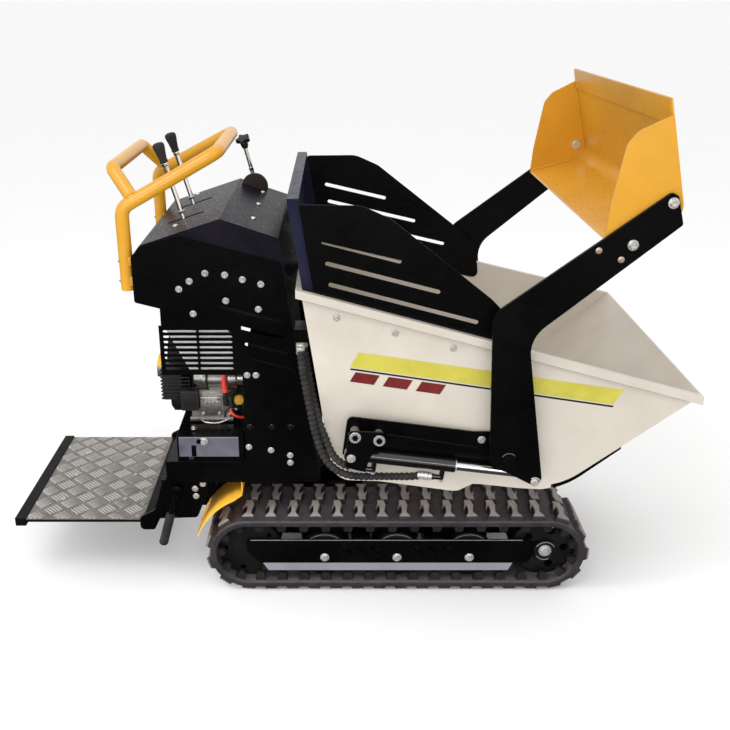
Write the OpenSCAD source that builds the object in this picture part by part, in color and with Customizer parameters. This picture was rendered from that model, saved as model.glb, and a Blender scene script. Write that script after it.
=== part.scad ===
// Tracked power carrier with a tipping skip, a self-loading shovel and a fold-up platform.
// Millimetres. X points forward, Y to the machine's left, Z up; the origin is on the ground.

/* [Overall] */
// Length from the platform's rear edge to the skip lip
overall_l = 2096; // [2060:4:2140]
// Running gap between moving pieces
run_gap = 0.5; // [0.3:0.1:1]
// Radial clearance of turning pins
pin_clear = 0.05; // [0.02:0.01:0.1]

/* [Tracks] */
// Width of one rubber track
track_w = 230; // [220:2:240]
// Distance between the two track centres
gauge = 460; // [456:2:476]
// Track pitch
pitch = 72; // [70:1:74]
// Number of links in a track
links = 37; // [36:1:38]
// Height of an outer lug
lug_h = 18; // [14:1:24]
// Length of an outer lug at its root
lug_l = 40; // [32:1:48]
// Offset between the two halves of a lug
lug_jog = 14; // [8:1:20]
// Carcass thickness
belt_t = 20; // [16:1:22]
// Height of the inner guide lugs
guide_h = 26; // [20:1:30]
// Middle of the track along the machine
track_mid = 201; // [190:1:212]
// Spacing of the road rollers
roller_step = 238; // [232:1:244]
// Road roller radius
roller_r = 80; // [74:1:82]
// Thickness of the track frame plates
rail_t = 8; // [6:1:10]

/* [Body] */
// Half width over the side panels
body_hw = 315; // [308:1:320]
// Sheet thickness of the panels
sheet_t = 4; // [3:0.5:5]
// Height of the body deck
deck_z = 402; // [394:1:410]
// Height of the engine bed
bed_z = 556; // [548:1:562]
// Height of the console ridge
ridge_z = 1246; // [1236:1:1256]
// Handlebar tube radius
tube_r = 20; // [17:0.5:21]
// Half width of the handlebar posts
post_hw = 288; // [278:1:296]
// Half width of the handlebar grips
grip_hw = 212; // [196:1:224]

/* [Skip] */
// Half width of the skip walls at the rear
skip_rear_hw = 416; // [410:1:418]
// Half width of the skip walls at the lip
skip_front_hw = 484; // [480:1:485]
// Skip sheet thickness
skip_t = 4; // [3:0.5:5]
// Depth of the rim fold
rim_h = 25; // [20:1:30]
// Overhang of the rim fold
rim_out = 14; // [10:1:15]
// Height of the skip floor
floor_z = 465; // [460:1:472]
// Height of the rim at the rear
rim_rear_z = 1068; // [1060:1:1076]
// Height of the lip at the front
lip_z = 775; // [765:1:785]
// Bend radius between the floor and the front
front_bend = 200; // [150:5:230]
// Side board thickness
board_t = 3; // [2:0.5:4]

/* [Loader] */
// Room for a lift cylinder between beam and arm
lift_room = 43; // [42.5:0.5:48]
// Arm plate thickness
arm_t = 10; // [8:1:12]
// Arm hub pin radius
hub_r = 15; // [12:0.5:17]
// Lift barrel outer radius
barrel_r = 20; // [18:0.5:20.5]
// Lift rod radius
rod_r = 14; // [11:0.5:14.5]
// Shovel sheet thickness
shovel_t = 5; // [4:0.5:6]

/* [Platform] */
// Length of the platform from hinge line to rear edge
platform_l = 432; // [420:2:440]
// Half width of the platform
platform_hw = 298; // [290:1:299]
// Height of the platform's hinge line
platform_z = 238; // [232:1:244]
// Hinge pin radius
hinge_r = 8; // [6:0.5:9]

/* [Controls] */
// Half spacing of the two drive levers
lever_y = 106; // [98:1:116]
// Lever rod radius
lever_r = 8; // [6:0.5:8]
// Length of a drive lever from its pivot to the knob
lever_l = 352; // [340:1:360]

/* [Hidden] */
steel = [0.08, 0.08, 0.09];
yellow = [0.93, 0.66, 0.12];
cream = [0.86, 0.83, 0.78];
rubber = [0.2, 0.19, 0.19];
metal = [0.62, 0.62, 0.62];

$fn = 40;
teeth = 10;
yc = gauge / 2;
half_l = overall_l / 2;
pitch_r = teeth * pitch / (2 * PI);
belt_out = pitch_r + belt_t / 2;
belt_in = pitch_r - belt_t / 2;
wheelbase = (links * pitch - 2 * PI * pitch_r) / 2;
axle_z = lug_h + belt_out;
rear_x = track_mid - wheelbase / 2;
front_x = track_mid + wheelbase / 2;
run_z = lug_h + belt_t;
roller_z = run_z + roller_r + run_gap;
roller_x = [track_mid - roller_step, track_mid, track_mid + roller_step];
tie_x = [track_mid - roller_step / 2, track_mid + roller_step / 2];
wheel_in = 48;
wheel_out = 78;
guide_in = wheel_out + 4;
guide_out = track_w / 2 - 11;
ring_out = 72;
ring_w = 20;
plate_in = yc + wheel_out + 6;
plate_out = plate_in + rail_t;
inner_out = yc - wheel_out - 6;
inner_in = inner_out - rail_t;
frame_in = 62;
frame_out = yc - track_w / 2 - 4;
frame_z0 = 190;
frame_z1 = 260;
motor_y = frame_out;
ear_t = 8;
lug_in = 27;
axle_r = 12;
idler_pin_r = 14;
shaft_r = 20;

panel_in = body_hw - sheet_t;
cheek_out = body_hw + sheet_t;
shell_hw = panel_in;
shell_t = 3;
guard_x0 = -528;
guard_x1 = -284;
guard_z0 = 767;
guard_z1 = 925;
shelf_z = 990;
bed_hw = panel_in - 5;
tank_hw = panel_in - 11;
lead_r = 6;
head_y = -236;
fuel_y0 = 24;
fuel_y1 = panel_in - 25;

// Side view of the skip: rear rim, rear bottom, front bottom, lip; each with its bend radius.
tip_pin = [660, 405];
front_corner_x = 670;
skip_rear_x = -100;
rear_lean = 0.156;
skip_side = [[skip_rear_x, rim_rear_z, 0],
  [skip_rear_x + (rim_rear_z - floor_z) * rear_lean, floor_z, 60],
  [front_corner_x, floor_z, front_bend],
  [half_l, lip_z, 0]];
rim_slope = (rim_rear_z - lip_z) / (half_l - skip_rear_x);
flare = (skip_front_hw - skip_rear_hw) / (half_l - skip_rear_x);
beam_t = 6;
beam_end = 535;
beam_in = skip_rear_hw + (beam_end - skip_rear_x) * flare + 0.4;
beam_out = beam_in + beam_t;
arm_in = max(beam_out + lift_room, skip_front_hw + rim_out + 4);
lift_y = (beam_out + arm_in) / 2;
hub = [502, 583];
lift_tip = [584, 517];
keeper = [584, 507];
lift_root = [44, 585];
lift_len = norm(lift_tip - lift_root);
lift_angle = atan2(lift_tip[1] - lift_root[1], lift_tip[0] - lift_root[0]);
arm_out = arm_in + arm_t;
clevis_in = arm_in;
clevis_t = 8;
gland_at = 309;
port_rear = 72;
port_front = 276;
port_drop = 44;
port_back = 34;
port_r = 8;
tip_root = [-190, 250];
tip_head = [330, 415];
tip_len = norm(tip_head - tip_root);
tip_angle = atan2(tip_head[1] - tip_root[1], tip_head[0] - tip_root[0]);
tip_gland = 440;

hinge_x = -half_l + platform_l;
rail_w = 34;
lever_pivot = [-435, 1090];
lever_lean = 16;
lever_fit = 5;
throttle_at = [-276, 1242];
throttle_y = 250;
throttle_lean = 14.3;
foot_at = [-507, 374];
foot_lean = 16;

function unit(v) = v / norm(v);
function xz(p) = [p[0], p[1]];
function corner(p, i) =
  let (n = len(p), a = xz(p[(i + n - 1) % n]), b = xz(p[i]), c = xz(p[(i + 1) % n]), r = p[i][2])
  r == 0 ? [b] :
  let (u = unit(a - b), v = unit(c - b), half = acos(u * v) / 2, k = b + unit(u + v) * (r / sin(half)),
       s = b + u * (r / tan(half)), e = b + v * (r / tan(half)),
       a0 = atan2(s[1] - k[1], s[0] - k[0]), a1 = atan2(e[1] - k[1], e[0] - k[0]),
       turn = ((a1 - a0 + 540) % 360) - 180)
  [for (j = [0:8]) k + r * [cos(a0 + turn * j / 8), sin(a0 + turn * j / 8)]];
function grown(p, i, t) =
  let (n = len(p), a = xz(p[(i + n - 1) % n]), b = xz(p[i]), c = xz(p[(i + 1) % n]), r = p[i][2],
       u = unit(a - b), v = unit(c - b), half = acos(u * v) / 2, q = b - unit(u + v) * (t / sin(half)))
  [q[0], q[1], r == 0 ? 0 : r + t];
function wall_hw(x) = skip_rear_hw + (x - skip_rear_x) * flare;
function rim_at(x) = rim_rear_z - (x - skip_rear_x) * rim_slope;
function rear_at(z) = skip_rear_x + (rim_rear_z - z) * rear_lean;

module rounded(p) {
  polygon([for (i = [0:len(p) - 1]) each corner(p, i)]);
}
module slab(y0, y1) {
  translate([0, y1, 0]) rotate([90, 0, 0]) linear_extrude(y1 - y0) children();
}
module box(x0, x1, y0, y1, z0, z1) {
  translate([x0, y0, z0]) cube([x1 - x0, y1 - y0, z1 - z0]);
}
module rod_y(x, z, r, y0, y1) {
  translate([x, y1, z]) rotate([90, 0, 0]) cylinder(h = y1 - y0, r = r);
}
module rod_x(y, z, r, x0, x1) {
  translate([x0, y, z]) rotate([0, 90, 0]) cylinder(h = x1 - x0, r = r);
}
module on(side) {
  if (side == "right") mirror([0, 1, 0]) children();
  else children();
}
module both() {
  children();
  mirror([0, 1, 0]) children();
}
module bar(a, b, r) {
  d = b - a;
  translate(a) rotate([0, acos(d[2] / norm(d)), atan2(d[1], d[0])]) cylinder(h = norm(d), r = r);
}
module hex_y(x, z, across, y0, y1) {
  translate([x, y1, z]) rotate([90, 0, 0]) cylinder(h = y1 - y0, r = across / sqrt(3), $fn = 6);
}
module slot2d(a, b, w) {
  d = b - a;
  translate(a) rotate(atan2(d[1], d[0])) {
    translate([0, -w / 2]) square([norm(d), w]);
    circle(r = w / 2, $fn = 24);
    translate([norm(d), 0]) circle(r = w / 2, $fn = 24);
  }
}
module ring2d(r, x0, x1, z) {
  translate([x0, z]) circle(r = r, $fn = 72);
  translate([x1, z]) circle(r = r, $fn = 72);
  translate([x0, z - r]) square([x1 - x0, 2 * r]);
}

// Places a child at a distance along the pitch line of the track; the child points outward along +Y.
module along_track(s) {
  arc = PI * pitch_r;
  if (s < wheelbase) {
    translate([rear_x + s, axle_z + pitch_r]) children();
  } else if (s < wheelbase + arc) {
    translate([front_x, axle_z])
      rotate(-(s - wheelbase) / pitch_r * 180 / PI) translate([0, pitch_r]) children();
  } else if (s < 2 * wheelbase + arc) {
    translate([front_x - (s - wheelbase - arc), axle_z - pitch_r]) rotate(180) children();
  } else {
    translate([rear_x, axle_z])
      rotate(180 - (s - 2 * wheelbase - arc) / pitch_r * 180 / PI) translate([0, pitch_r]) children();
  }
}
module lug2d(root) {
  top = root - 12;
  h = belt_t / 2 + lug_h;
  polygon([[-root / 2, belt_t / 2 - 3], [-top / 2, h], [top / 2, h], [root / 2, belt_t / 2 - 3]]);
}
module guide2d() {
  b = belt_t / 2;
  polygon([[-18, -b + 3], [18, -b + 3], [18, -b], [11, -b - guide_h], [-11, -b - guide_h], [-18, -b]]);
}
module belt2d(root, jog) {
  loop = links * pitch;
  difference() {
    union() {
      ring2d(belt_out, rear_x, front_x, axle_z);
      for (i = [0:links - 1]) along_track((i * pitch + jog + loop) % loop) lug2d(root);
    }
    ring2d(belt_in, rear_x, front_x, axle_z);
    translate([rear_x - 2 * belt_out, -lug_h]) square([wheelbase + 4 * belt_out, lug_h]);
  }
}
module guide_row() {
  for (i = [0:links - 1]) along_track((i + 0.5) * pitch % (links * pitch)) guide2d();
}
module track_belt(side) {
  color(rubber) on(side) {
    h = track_w / 2;
    shoulder = h - 27;
    slab(yc + shoulder, yc + h) belt2d(lug_l + 8, 0);
    slab(yc, yc + shoulder) belt2d(lug_l - 6, 0);
    slab(yc - shoulder, yc) belt2d(lug_l - 6, lug_jog);
    slab(yc - h, yc - shoulder) belt2d(lug_l + 8, lug_jog);
    slab(yc + guide_in, yc + guide_out) guide_row();
    slab(yc - guide_out, yc - guide_in) guide_row();
  }
}
module wheel_ring(r, bore, half_in, half_out, hub, hub_half) {
  rotate([90, 0, 0]) rotate_extrude($fn = 64) {
    polygon([[bore, -hub_half], [hub, -hub_half], [hub, -half_out], [r - 14, -half_out], [r, -half_out + 6],
      [r, -half_in], [r - 16, -half_in], [hub + 6, -half_in + 8], [hub, -half_in + 14],
      [hub, half_in - 14], [hub + 6, half_in - 8], [r - 16, half_in], [r, half_in],
      [r, half_out - 6], [r - 14, half_out], [hub, half_out], [hub, hub_half], [bore, hub_half]]);
  }
}
module roller(side, i) {
  color(steel) on(side) {
    translate([roller_x[i], yc, roller_z])
      wheel_ring(roller_r, axle_r + pin_clear, wheel_in, wheel_out, 30, wheel_out + 4);
  }
}
module idler(side) {
  color(steel) on(side) {
    translate([front_x, yc, axle_z]) difference() {
      wheel_ring(belt_in - run_gap, idler_pin_r + pin_clear, wheel_in, wheel_out - 8, 34, wheel_out - 4);
      for (a = [0:72:288]) rotate([0, a, 0]) rod_y(66, 0, 14, -track_w, track_w);
    }
  }
}
module sprocket(side) {
  color(steel) on(side) {
    tip = belt_in - run_gap;
    translate([rear_x, yc, axle_z]) difference() {
      union() {
        slab(-12, 12) difference() {
          circle(r = tip, $fn = 80);
          for (i = [0:teeth - 1]) {
            rotate(i * 360 / teeth) translate([tip + 4, 0]) circle(r = 20, $fn = 32);
          }
        }
        rod_y(0, 0, tip, -ring_out, -ring_out + ring_w);
        rod_y(0, 0, tip, ring_out - ring_w, ring_out);
        rod_y(0, 0, 62, -wheel_out, ring_out - 2);
      }
      rod_y(0, 0, shaft_r + pin_clear, -track_w, track_w);
      for (a = [36:72:324]) rotate([0, a, 0]) rod_y(80, 0, 9, -track_w, track_w);
    }
  }
}
module travel_motor() {
  rod_y(rear_x, axle_z, 72, motor_y, motor_y + 14);
  rod_y(rear_x, axle_z, 50, motor_y + 14, yc - wheel_out - run_gap);
  rod_y(rear_x, axle_z, shaft_r, yc - wheel_out - run_gap, yc + ring_out + run_gap);
  rod_y(rear_x, axle_z, 34, yc + ring_out + run_gap, yc + ring_out + run_gap + 3);
}
module track_frame(side) {
  color(steel) on(side) {
    top = 184;
    bend = 97;
    x0 = rear_x - 8;
    x1 = front_x - 52;
    difference() {
      union() {
        slab(plate_in, plate_out) rounded([[x0, top, 6], [x1, top, 16], [x1, bend, 10],
          [x0 + 44, bend, 20], [x0, bend + 44, 20]]);
        slab(inner_in, inner_out) rounded([[rear_x + 86, top, 10], [x1 - 20, top, 10],
          [x1 - 20, bend + 3, 10], [rear_x + 86, bend + 3, 10]]);
      }
      slab(plate_in - 1, plate_out + 1) {
        for (c = tie_x, k = [-1:1]) slot2d([c + k * 48 - 12, 158], [c + k * 48 + 12, 138], 13);
      }
    }
    // folded skirt along the foot of the outer plate
    translate([x0 + 50, 0, 0]) rotate([90, 0, 90]) linear_extrude(x1 - x0 - 100)
      polygon([[plate_out, bend], [plate_out + 14, bend - 19], [plate_out + 9, bend - 22],
        [plate_in, bend]]);
    for (x = tie_x) box(x - 30, x + 30, inner_out, plate_in, 130, frame_z0);
    for (x = roller_x) {
      rod_y(x, roller_z, axle_r, inner_out, plate_in);
      rod_y(x, roller_z, axle_r + 10, inner_out, yc - wheel_out - 4 - run_gap);
      rod_y(x, roller_z, axle_r + 10, yc + wheel_out + 4 + run_gap, plate_in);
    }
    // fork that carries the front idler
    fork = [[x1 - 110, axle_z - 26, 8], [front_x + 26, axle_z - 26, 22],
      [front_x + 26, axle_z + 26, 22], [x1 - 110, axle_z + 26, 8]];
    slab(plate_in - rail_t, plate_in) rounded(fork);
    slab(inner_out, inner_out + rail_t) rounded(fork);
    rod_y(front_x, axle_z, idler_pin_r, inner_out, plate_in);
    rod_y(front_x, axle_z, 24, plate_in, plate_in + 5);
  }
}
module main_frame() {
  color(steel) {
    both() {
      box(-470, 700, frame_in, frame_out, frame_z0, frame_z1);
      box(rear_x - 90, rear_x + 90, frame_out - 12, frame_out, 60, frame_z0);
      box(-540, -70, panel_in - 3, panel_in, deck_z, deck_z + 66);
      for (x = [-440, -120]) box(x - 25, x + 25, frame_in, frame_out, frame_z1, deck_z - 6);
      box(30, 90, frame_in, frame_out, frame_z1, floor_z - 40 - run_gap);
      slab(frame_out - ear_t, frame_out)
        rounded([[600, frame_z1, 0], [700, frame_z1, 0], [690, 436, 26], [630, 436, 26]]);
      slab(lug_in, lug_in + ear_t)
        rounded([[-235, frame_z0 + 12, 0], [-145, frame_z0 + 12, 0], [-165, 272, 18], [-215, 272, 18]]);
    }
    for (x = tie_x) box(x - 30, x + 30, -inner_in, inner_in, 130, frame_z0);
    box(-560, -50, -panel_in, panel_in, deck_z - 6, deck_z);
    box(-235, -145, -frame_in, frame_in, frame_z0, frame_z0 + 12);
    box(600, 640, -frame_in, frame_in, frame_z0, frame_z1);
    box(-470, -430, -frame_in, frame_in, frame_z0, frame_z1);
    rod_y(tip_pin[0], tip_pin[1], hub_r, -frame_out, frame_out);
    rod_y(tip_root[0], tip_root[1], 12, -lug_in - ear_t, lug_in + ear_t);
  }
}
module side_panel() {
  slab(panel_in, body_hw) difference() {
    rounded([[-520, guard_z1, 0], [-520, 985, 12], [-455, 1050, 20], [-388, 1092, 20], [-328, 1092, 12],
      [-150, 1044, 6], [-48, deck_z - 4, 14], [-536, deck_z - 8, 14], [-548, deck_z + 12, 12],
      [-492, deck_z + 34, 30], [guard_x1, deck_z + 68, 12], [guard_x1, guard_z1, 0]]);
    slot2d([-343, 984], [-166, 937], 11);
    slot2d([-296, 922], [-158, 885], 11);
    slot2d([-268, 866], [-150, 834], 11);
    slot2d([-252, 815], [-142, 785], 11);
  }
}
module side_panels() {
  color(steel) {
    both() side_panel();
  }
}
console_x = -591;
console = [[console_x, 700, 0], [console_x, 1136, 10], [-566, 1168, 10], [-332, ridge_z, 8],
  [-161, ridge_z - 58, 12], [-105, 708, 0]];
module console_shell() {
  color(steel) {
    difference() {
      slab(-shell_hw, shell_hw) rounded(console);
      slab(-shell_hw + shell_t, shell_hw - shell_t) rounded([for (i = [0:5]) grown(console, i, -shell_t)]);
      slab(-shell_hw - 1, shell_hw + 1)
        polygon([[-700, 600], [0, 600], [0, 879], [-128, 905], [console_x, 1000], [-700, 1022]]);
      for (s = [-1, 1]) {
        y = s * lever_y;
        box(lever_pivot[0] - 81, lever_pivot[0] + 29, y - lever_r - 2, y + lever_r + 2, 1120, 1280);
      }
    }
    box(-540, -170, -shell_hw + shell_t, shell_hw - shell_t, shelf_z, shelf_z + shell_t);
  }
}
cheek_top = [[-592, 1136], [-566, 1166], [-449, 1195], [-162, 1118]];
module console_cheek() {
  slab(body_hw, cheek_out) rounded([[-592, 999, 8], [-592, 1136, 16], [-566, 1166, 16], [-449, 1195, 20],
    [-162, 1118, 10], [-140, 1004, 8], [-330, 1056, 12], [-385, 1056, 20], [-455, 1015, 20],
    [-512, 978, 10]]);
  for (i = [0:2]) {
    slab(panel_in, body_hw) strip(cheek_top[i], cheek_top[i + 1], 5);
  }
}
// A straight strip of the given width that lies below the line from a to b.
module strip(a, b, w) {
  d = unit(b - a);
  n = [d[1], -d[0]];
  polygon([a, b, b + n * w, a + n * w]);
}
module console_cheeks() {
  color(steel) {
    both() console_cheek();
  }
}
post_a = [-613, post_hw, 1030];
post_b = [-613, post_hw, 1272];
rail_b = [-342, grip_hw, 1418];
loop_a = post_b + (rail_b - post_b) * 0.13;
loop_b = [-645, grip_hw + 8, 1374];
module handlebar() {
  color(yellow) {
    both() {
      bar(post_a, post_b, tube_r);
      translate(post_b) sphere(r = tube_r + 0.6);
      bar(post_b, rail_b, tube_r);
      translate(rail_b) sphere(r = tube_r + 0.6);
      bar(loop_a, loop_b, tube_r);
      translate(loop_b) sphere(r = tube_r + 0.6);
      for (z = [1046, 1106]) box(post_a[0], console_x, post_hw - 17, post_hw + 17, z, z + 26);
    }
    bar([rail_b[0], -rail_b[1], rail_b[2]], rail_b, tube_r);
    bar([loop_b[0], -loop_b[1], loop_b[2]], loop_b, tube_r);
  }
}
cheek_bolts = [[-459, 1040], [-427, 1064], [-380, 1088], [-323, 1083], [-272, 1069], [-219, 1055]];
panel_bolts = [[-422, 963], [-324, 1003], [-229, 977], [-270, 766], [-243, 766], [-273, 522], [-204, 511],
  [-144, 493], [-144, 467], [-267, 591], [-199, 591], [-141, 591]];
bracket_bolts = [[-426, 386], [-452, 369], [-450, 342]];
module chassis_bolts() {
  color(metal) {
    both() {
      for (p = cheek_bolts) hex_y(p[0], p[1], 13, cheek_out, cheek_out + 6);
      for (p = panel_bolts) hex_y(p[0], p[1], 13, body_hw, body_hw + 6);
      for (p = bracket_bolts) hex_y(p[0], p[1], 13, platform_hw + 10, platform_hw + 16);
      for (x = roller_x) hex_y(x, roller_z, 19, plate_out, plate_out + 9);
      hex_y(front_x, axle_z, 22, plate_in + 5, plate_in + 17);
    }
  }
}
module engine_bed() {
  color(steel) {
    bed_x0 = -500;
    bed_x1 = -290;
    bed_t = 6;
    difference() {
      union() {
        box(bed_x0, bed_x1, -bed_hw, bed_hw, bed_z - bed_t, bed_z);
        both() box(bed_x0, bed_x1, bed_hw - bed_t, bed_hw, deck_z, bed_z - bed_t);
      }
      both() box(bed_x0 + 34, bed_x0 + 50, bed_hw - 10, bed_hw + 4, bed_z - 84, bed_z - 40);
    }
    both() hex_y(bed_x0 + 70, bed_z - 18, 15, bed_hw, bed_hw + 6);
  }
}
module engine_block() {
  color(metal) {
    z = bed_z;
    box(-450, -330, -105, 105, z, z + 144);
    box(-430, -345, -215, -105, z + 39, z + 112);
    for (y = [-208:14:-110]) box(-446, -334, y, y + 5, z + 27, z + 126);
    box(-458, -334, head_y, -215, z + 30, z + 126);
    box(-424, -356, head_y - 14, head_y, z + 46, z + 110);
    box(-445, -350, 0, 120, z + 144, z + 236);
    box(-440, -355, -60, -10, z + 144, z + 190);
    for (x = [-436, -352], y = [-92, 92]) translate([x, y, z]) cylinder(h = 150, r = 10);
  }
}
module slab_x(x0, x1) {
  translate([x0, 0, 0]) rotate([90, 0, 90]) linear_extrude(x1 - x0) children();
}
module fan_shroud() {
  color(steel) {
    z = bed_z;
    difference() {
      union() {
        slab_x(-528, -450)
          rounded([[-205, z + 60, 20], [-150, z + 16, 20], [150, z + 16, 30], [185, z + 90, 30],
            [185, z + 190, 40], [90, z + 290, 40], [-130, z + 290, 40], [-205, z + 190, 40]]);
        rod_x(0, z + 140, 112, -546, -528);
        rod_x(0, z + 140, 60, -554, -546);
      }
      for (i = [0:4]) box(-516 + i * 13, -510 + i * 13, -210, -180, z + 78, z + 176);
      for (a = [0:30:330]) translate([-550, 0, z + 140]) rotate([a, 0, 0]) box(0, 12, -4, 4, 68, 102);
    }
  }
}
module starter_motor() {
  color(metal) {
    z = bed_z + 160;
    rod_x(-216, z, 22, -448, -420);
    rod_x(-216, z, 31, -420, -310);
    rod_x(-216, z, 22, -310, -286);
    rod_x(-216, z, 12, -286, -274);
    rod_x(-216, z + 42, 13, -400, -330);
    box(-402, -350, -228, -204, bed_z + 126, z);
    lead = [[-352, -216, z + 50], [-350, -248, z + 36], [-348, -256, z - 20], [-344, -252, z - 74]];
    for (i = [0:2]) {
      bar(lead[i], lead[i + 1], lead_r);
      translate(lead[i + 1]) sphere(r = lead_r + 0.3);
    }
    rod_y(lead[3][0], lead[3][2], lead_r + 3, lead[3][1], head_y);
  }
}
module muffler() {
  color(metal) {
    z0 = bed_z + 236;
    slab_x(-446, -310) rounded([[-255, z0, 30], [-60, z0, 30], [-60, z0 + 100, 30], [-255, z0 + 100, 30]]);
    translate([-434, -178, bed_z + 126]) cylinder(h = 118, r = 9);
    rod_x(-200, z0 + 50, 18, -310, -296);
  }
}
module guard() {
  slab(panel_in, body_hw) difference() {
    polygon([[guard_x0, guard_z0], [guard_x1, guard_z0], [guard_x1, guard_z1], [guard_x0, guard_z1]]);
    for (c = [guard_x0 + 16, guard_x0 + 122], i = [0:7]) {
      slot2d([c, guard_z0 + 21 + i * 17], [c + 92, guard_z0 + 21 + i * 17], 8);
    }
  }
}
module guards() {
  color(steel) {
    both() guard();
  }
}
module fuel_tank() {
  color(steel) {
    slab(fuel_y0, fuel_y1)
      rounded([[-560, 870, 24], [-340, 870, 24], [-340, shelf_z, 16], [-560, shelf_z, 16]]);
  }
}
module hydraulic_tank() {
  color(steel) {
    wall = 4;
    top = 880;
    rear = -266;
    foot = -104;
    shoulder = -140;
    difference() {
      slab(-tank_hw, tank_hw)
        rounded([[rear, deck_z, 0], [foot, deck_z, 0], [shoulder, top, 10], [rear, top, 10]]);
      slab(-tank_hw + wall, tank_hw - wall) polygon([[rear + wall, deck_z - 1], [foot - wall, deck_z - 1],
        [shoulder - wall, top - wall], [rear + wall, top - wall]]);
    }
    translate([-210, 180, top]) cylinder(h = 26, r = 34);
    translate([-210, -150, top]) cylinder(h = 20, r = 24);
  }
}
module control_valve() {
  color(metal) {
    box(-505, -395, -165, 165, shelf_z + shell_t, 1058);
    for (y = [-140:40:140]) rod_x(y, 1026, 13, -525, -505);
    for (s = [-1, 1]) {
      y = s * lever_y;
      for (k = [-1, 1]) {
        slab(y + k * 11 - 2.5, y + k * 11 + 2.5)
          translate([lever_pivot[0], 0])
          rounded([[-25, 1058, 0], [25, 1058, 0], [13, 1104, 12], [-13, 1104, 12]]);
      }
      rod_y(lever_pivot[0], lever_pivot[1], lever_fit, y - 13.5, y + 13.5);
    }
  }
}
module gear_pump() {
  color(metal) {
    rod_x(0, bed_z + 84, 46, -330, -318);
    rod_x(0, bed_z + 84, 36, -318, -276);
  }
}
fender_a = [-300, 357];
fender_b = [-415, 318];
fender_c = [-453, 198];
function fender_pt(t) = fender_a * (1 - t) * (1 - t) + fender_b * 2 * t * (1 - t) + fender_c * t * t;
function fender_n(t) =
  let (d = unit((fender_b - fender_a) * (1 - t) + (fender_c - fender_b) * t)) [d[1], -d[0]];
module fender() {
  edge = yc + track_w / 2;
  difference() {
    slab(190, edge) polygon(concat([for (i = [0:14]) fender_pt(i / 14)],
      [for (i = [14:-1:0]) fender_pt(i / 14) - fender_n(i / 14) * 3]));
    translate([0, 0, 150]) linear_extrude(300) {
      polygon([[-270, edge - 34], [-326, edge + 1], [-270, edge + 1]]);
      polygon([[-500, edge - 46], [-500, edge + 1], [-420, edge + 1]]);
    }
  }
  box(-304, -300, 200, 300, 356, deck_z - 6);
}
module fenders() {
  color(yellow) {
    both() fender();
  }
}
module platform_brackets() {
  color(steel) {
    y0 = platform_hw + 2;
    both() {
      slab(y0, y0 + 8) rounded([[-556, deck_z - 6, 6], [-410, deck_z - 6, 4], [-416, 345, 14],
        [-450, 262, 14], [hinge_x + 44, 258, 8], [hinge_x + 24, 216, 10], [hinge_x - 22, 216, 14],
        [hinge_x - 22, 262, 18], [-585, 290, 30]]);
      rod_y(hinge_x, platform_z, hinge_r, platform_hw - 26, y0);
    }
    on("right") rod_y(foot_at[0], foot_at[1], 6, y0 + 8, y0 + 37);
    box(-480, -472, -y0, y0, 280, deck_z - 6);
  }
}
module platform_deck() {
  color(metal) {
    box(-half_l + rail_w, hinge_x - 14, -platform_hw, platform_hw, platform_z + 8, platform_z + 12);
  }
}
module platform_rails() {
  color(steel) {
    difference() {
      union() {
        box(hinge_x - 14, hinge_x + 12, -platform_hw, platform_hw, platform_z - 12, platform_z + 12);
        box(-half_l, -half_l + rail_w, -platform_hw - 4, platform_hw + 4, platform_z - 12, platform_z + 16);
        both()
          box(-half_l + rail_w, hinge_x - 14, platform_hw - 14, platform_hw, platform_z, platform_z + 8);
      }
      both() rod_y(hinge_x, platform_z, hinge_r + pin_clear, platform_hw - 28, platform_hw + 10);
    }
  }
}
module foot_lever() {
  color(steel) {
    y0 = platform_hw + 10 + run_gap;
    on("right") translate([foot_at[0], 0, foot_at[1]]) rotate([0, 180 + foot_lean, 0]) {
      difference() {
        rod_y(0, 0, 15, y0, y0 + 26);
        rod_y(0, 0, 6 + pin_clear, y0 - 1, y0 + 27);
      }
      translate([0, y0 + 16, 12]) cylinder(h = 90, r = 7);
      translate([0, y0 + 16, 92]) cylinder(h = 116, r = 15);
      translate([0, y0 + 16, 208]) cylinder(h = 4, r = 12);
    }
  }
}
module drive_lever(side) {
  color(metal) on(side) {
    translate([lever_pivot[0], lever_y, lever_pivot[1]]) rotate([0, -lever_lean, 0]) {
      difference() {
        rod_y(0, 0, 12, -8, 8);
        rod_y(0, 0, lever_fit + pin_clear, -9, 9);
      }
      translate([0, 0, 11]) cylinder(h = lever_l - 70, r = lever_r);
      translate([0, 0, lever_l - 60]) rotate_extrude()
        polygon([[0, 0], [12, 0], [12, 6], [11, 10], [18, 47], [16, 56], [9, 60], [0, 60]]);
    }
  }
}
module throttle_quadrant() {
  color(steel) {
    slab(throttle_y - 14, throttle_y) intersection() {
      translate([throttle_at[0], throttle_at[1] - 10]) circle(r = 44, $fn = 64);
      polygon([[-332, ridge_z], [-161, ridge_z - 58], [-161, 1400], [-400, 1400], [-400, ridge_z + 23]]);
    }
    rod_y(throttle_at[0], throttle_at[1], 5, throttle_y, throttle_y + 10);
  }
}
module throttle_lever() {
  color(steel) {
    translate([throttle_at[0], throttle_y + 5, throttle_at[1]]) rotate([0, -throttle_lean, 0]) {
      difference() {
        rod_y(0, 0, 14, -5 + run_gap, 5);
        rod_y(0, 0, 5 + pin_clear, -6, 6);
      }
      translate([0, 0.25, 12]) cylinder(h = 24, r = 4);
      translate([0, 2.75, 30]) cylinder(h = 98, r = 7);
      translate([0, 2.75, 124]) cylinder(h = 10, r = 10);
      translate([0, 2.75, 134]) {
        cylinder(h = 24, r = 15);
        for (a = [0:60:300]) rotate(a) translate([15, 0, 0]) cylinder(h = 24, r = 5.5);
      }
    }
  }
}
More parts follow.
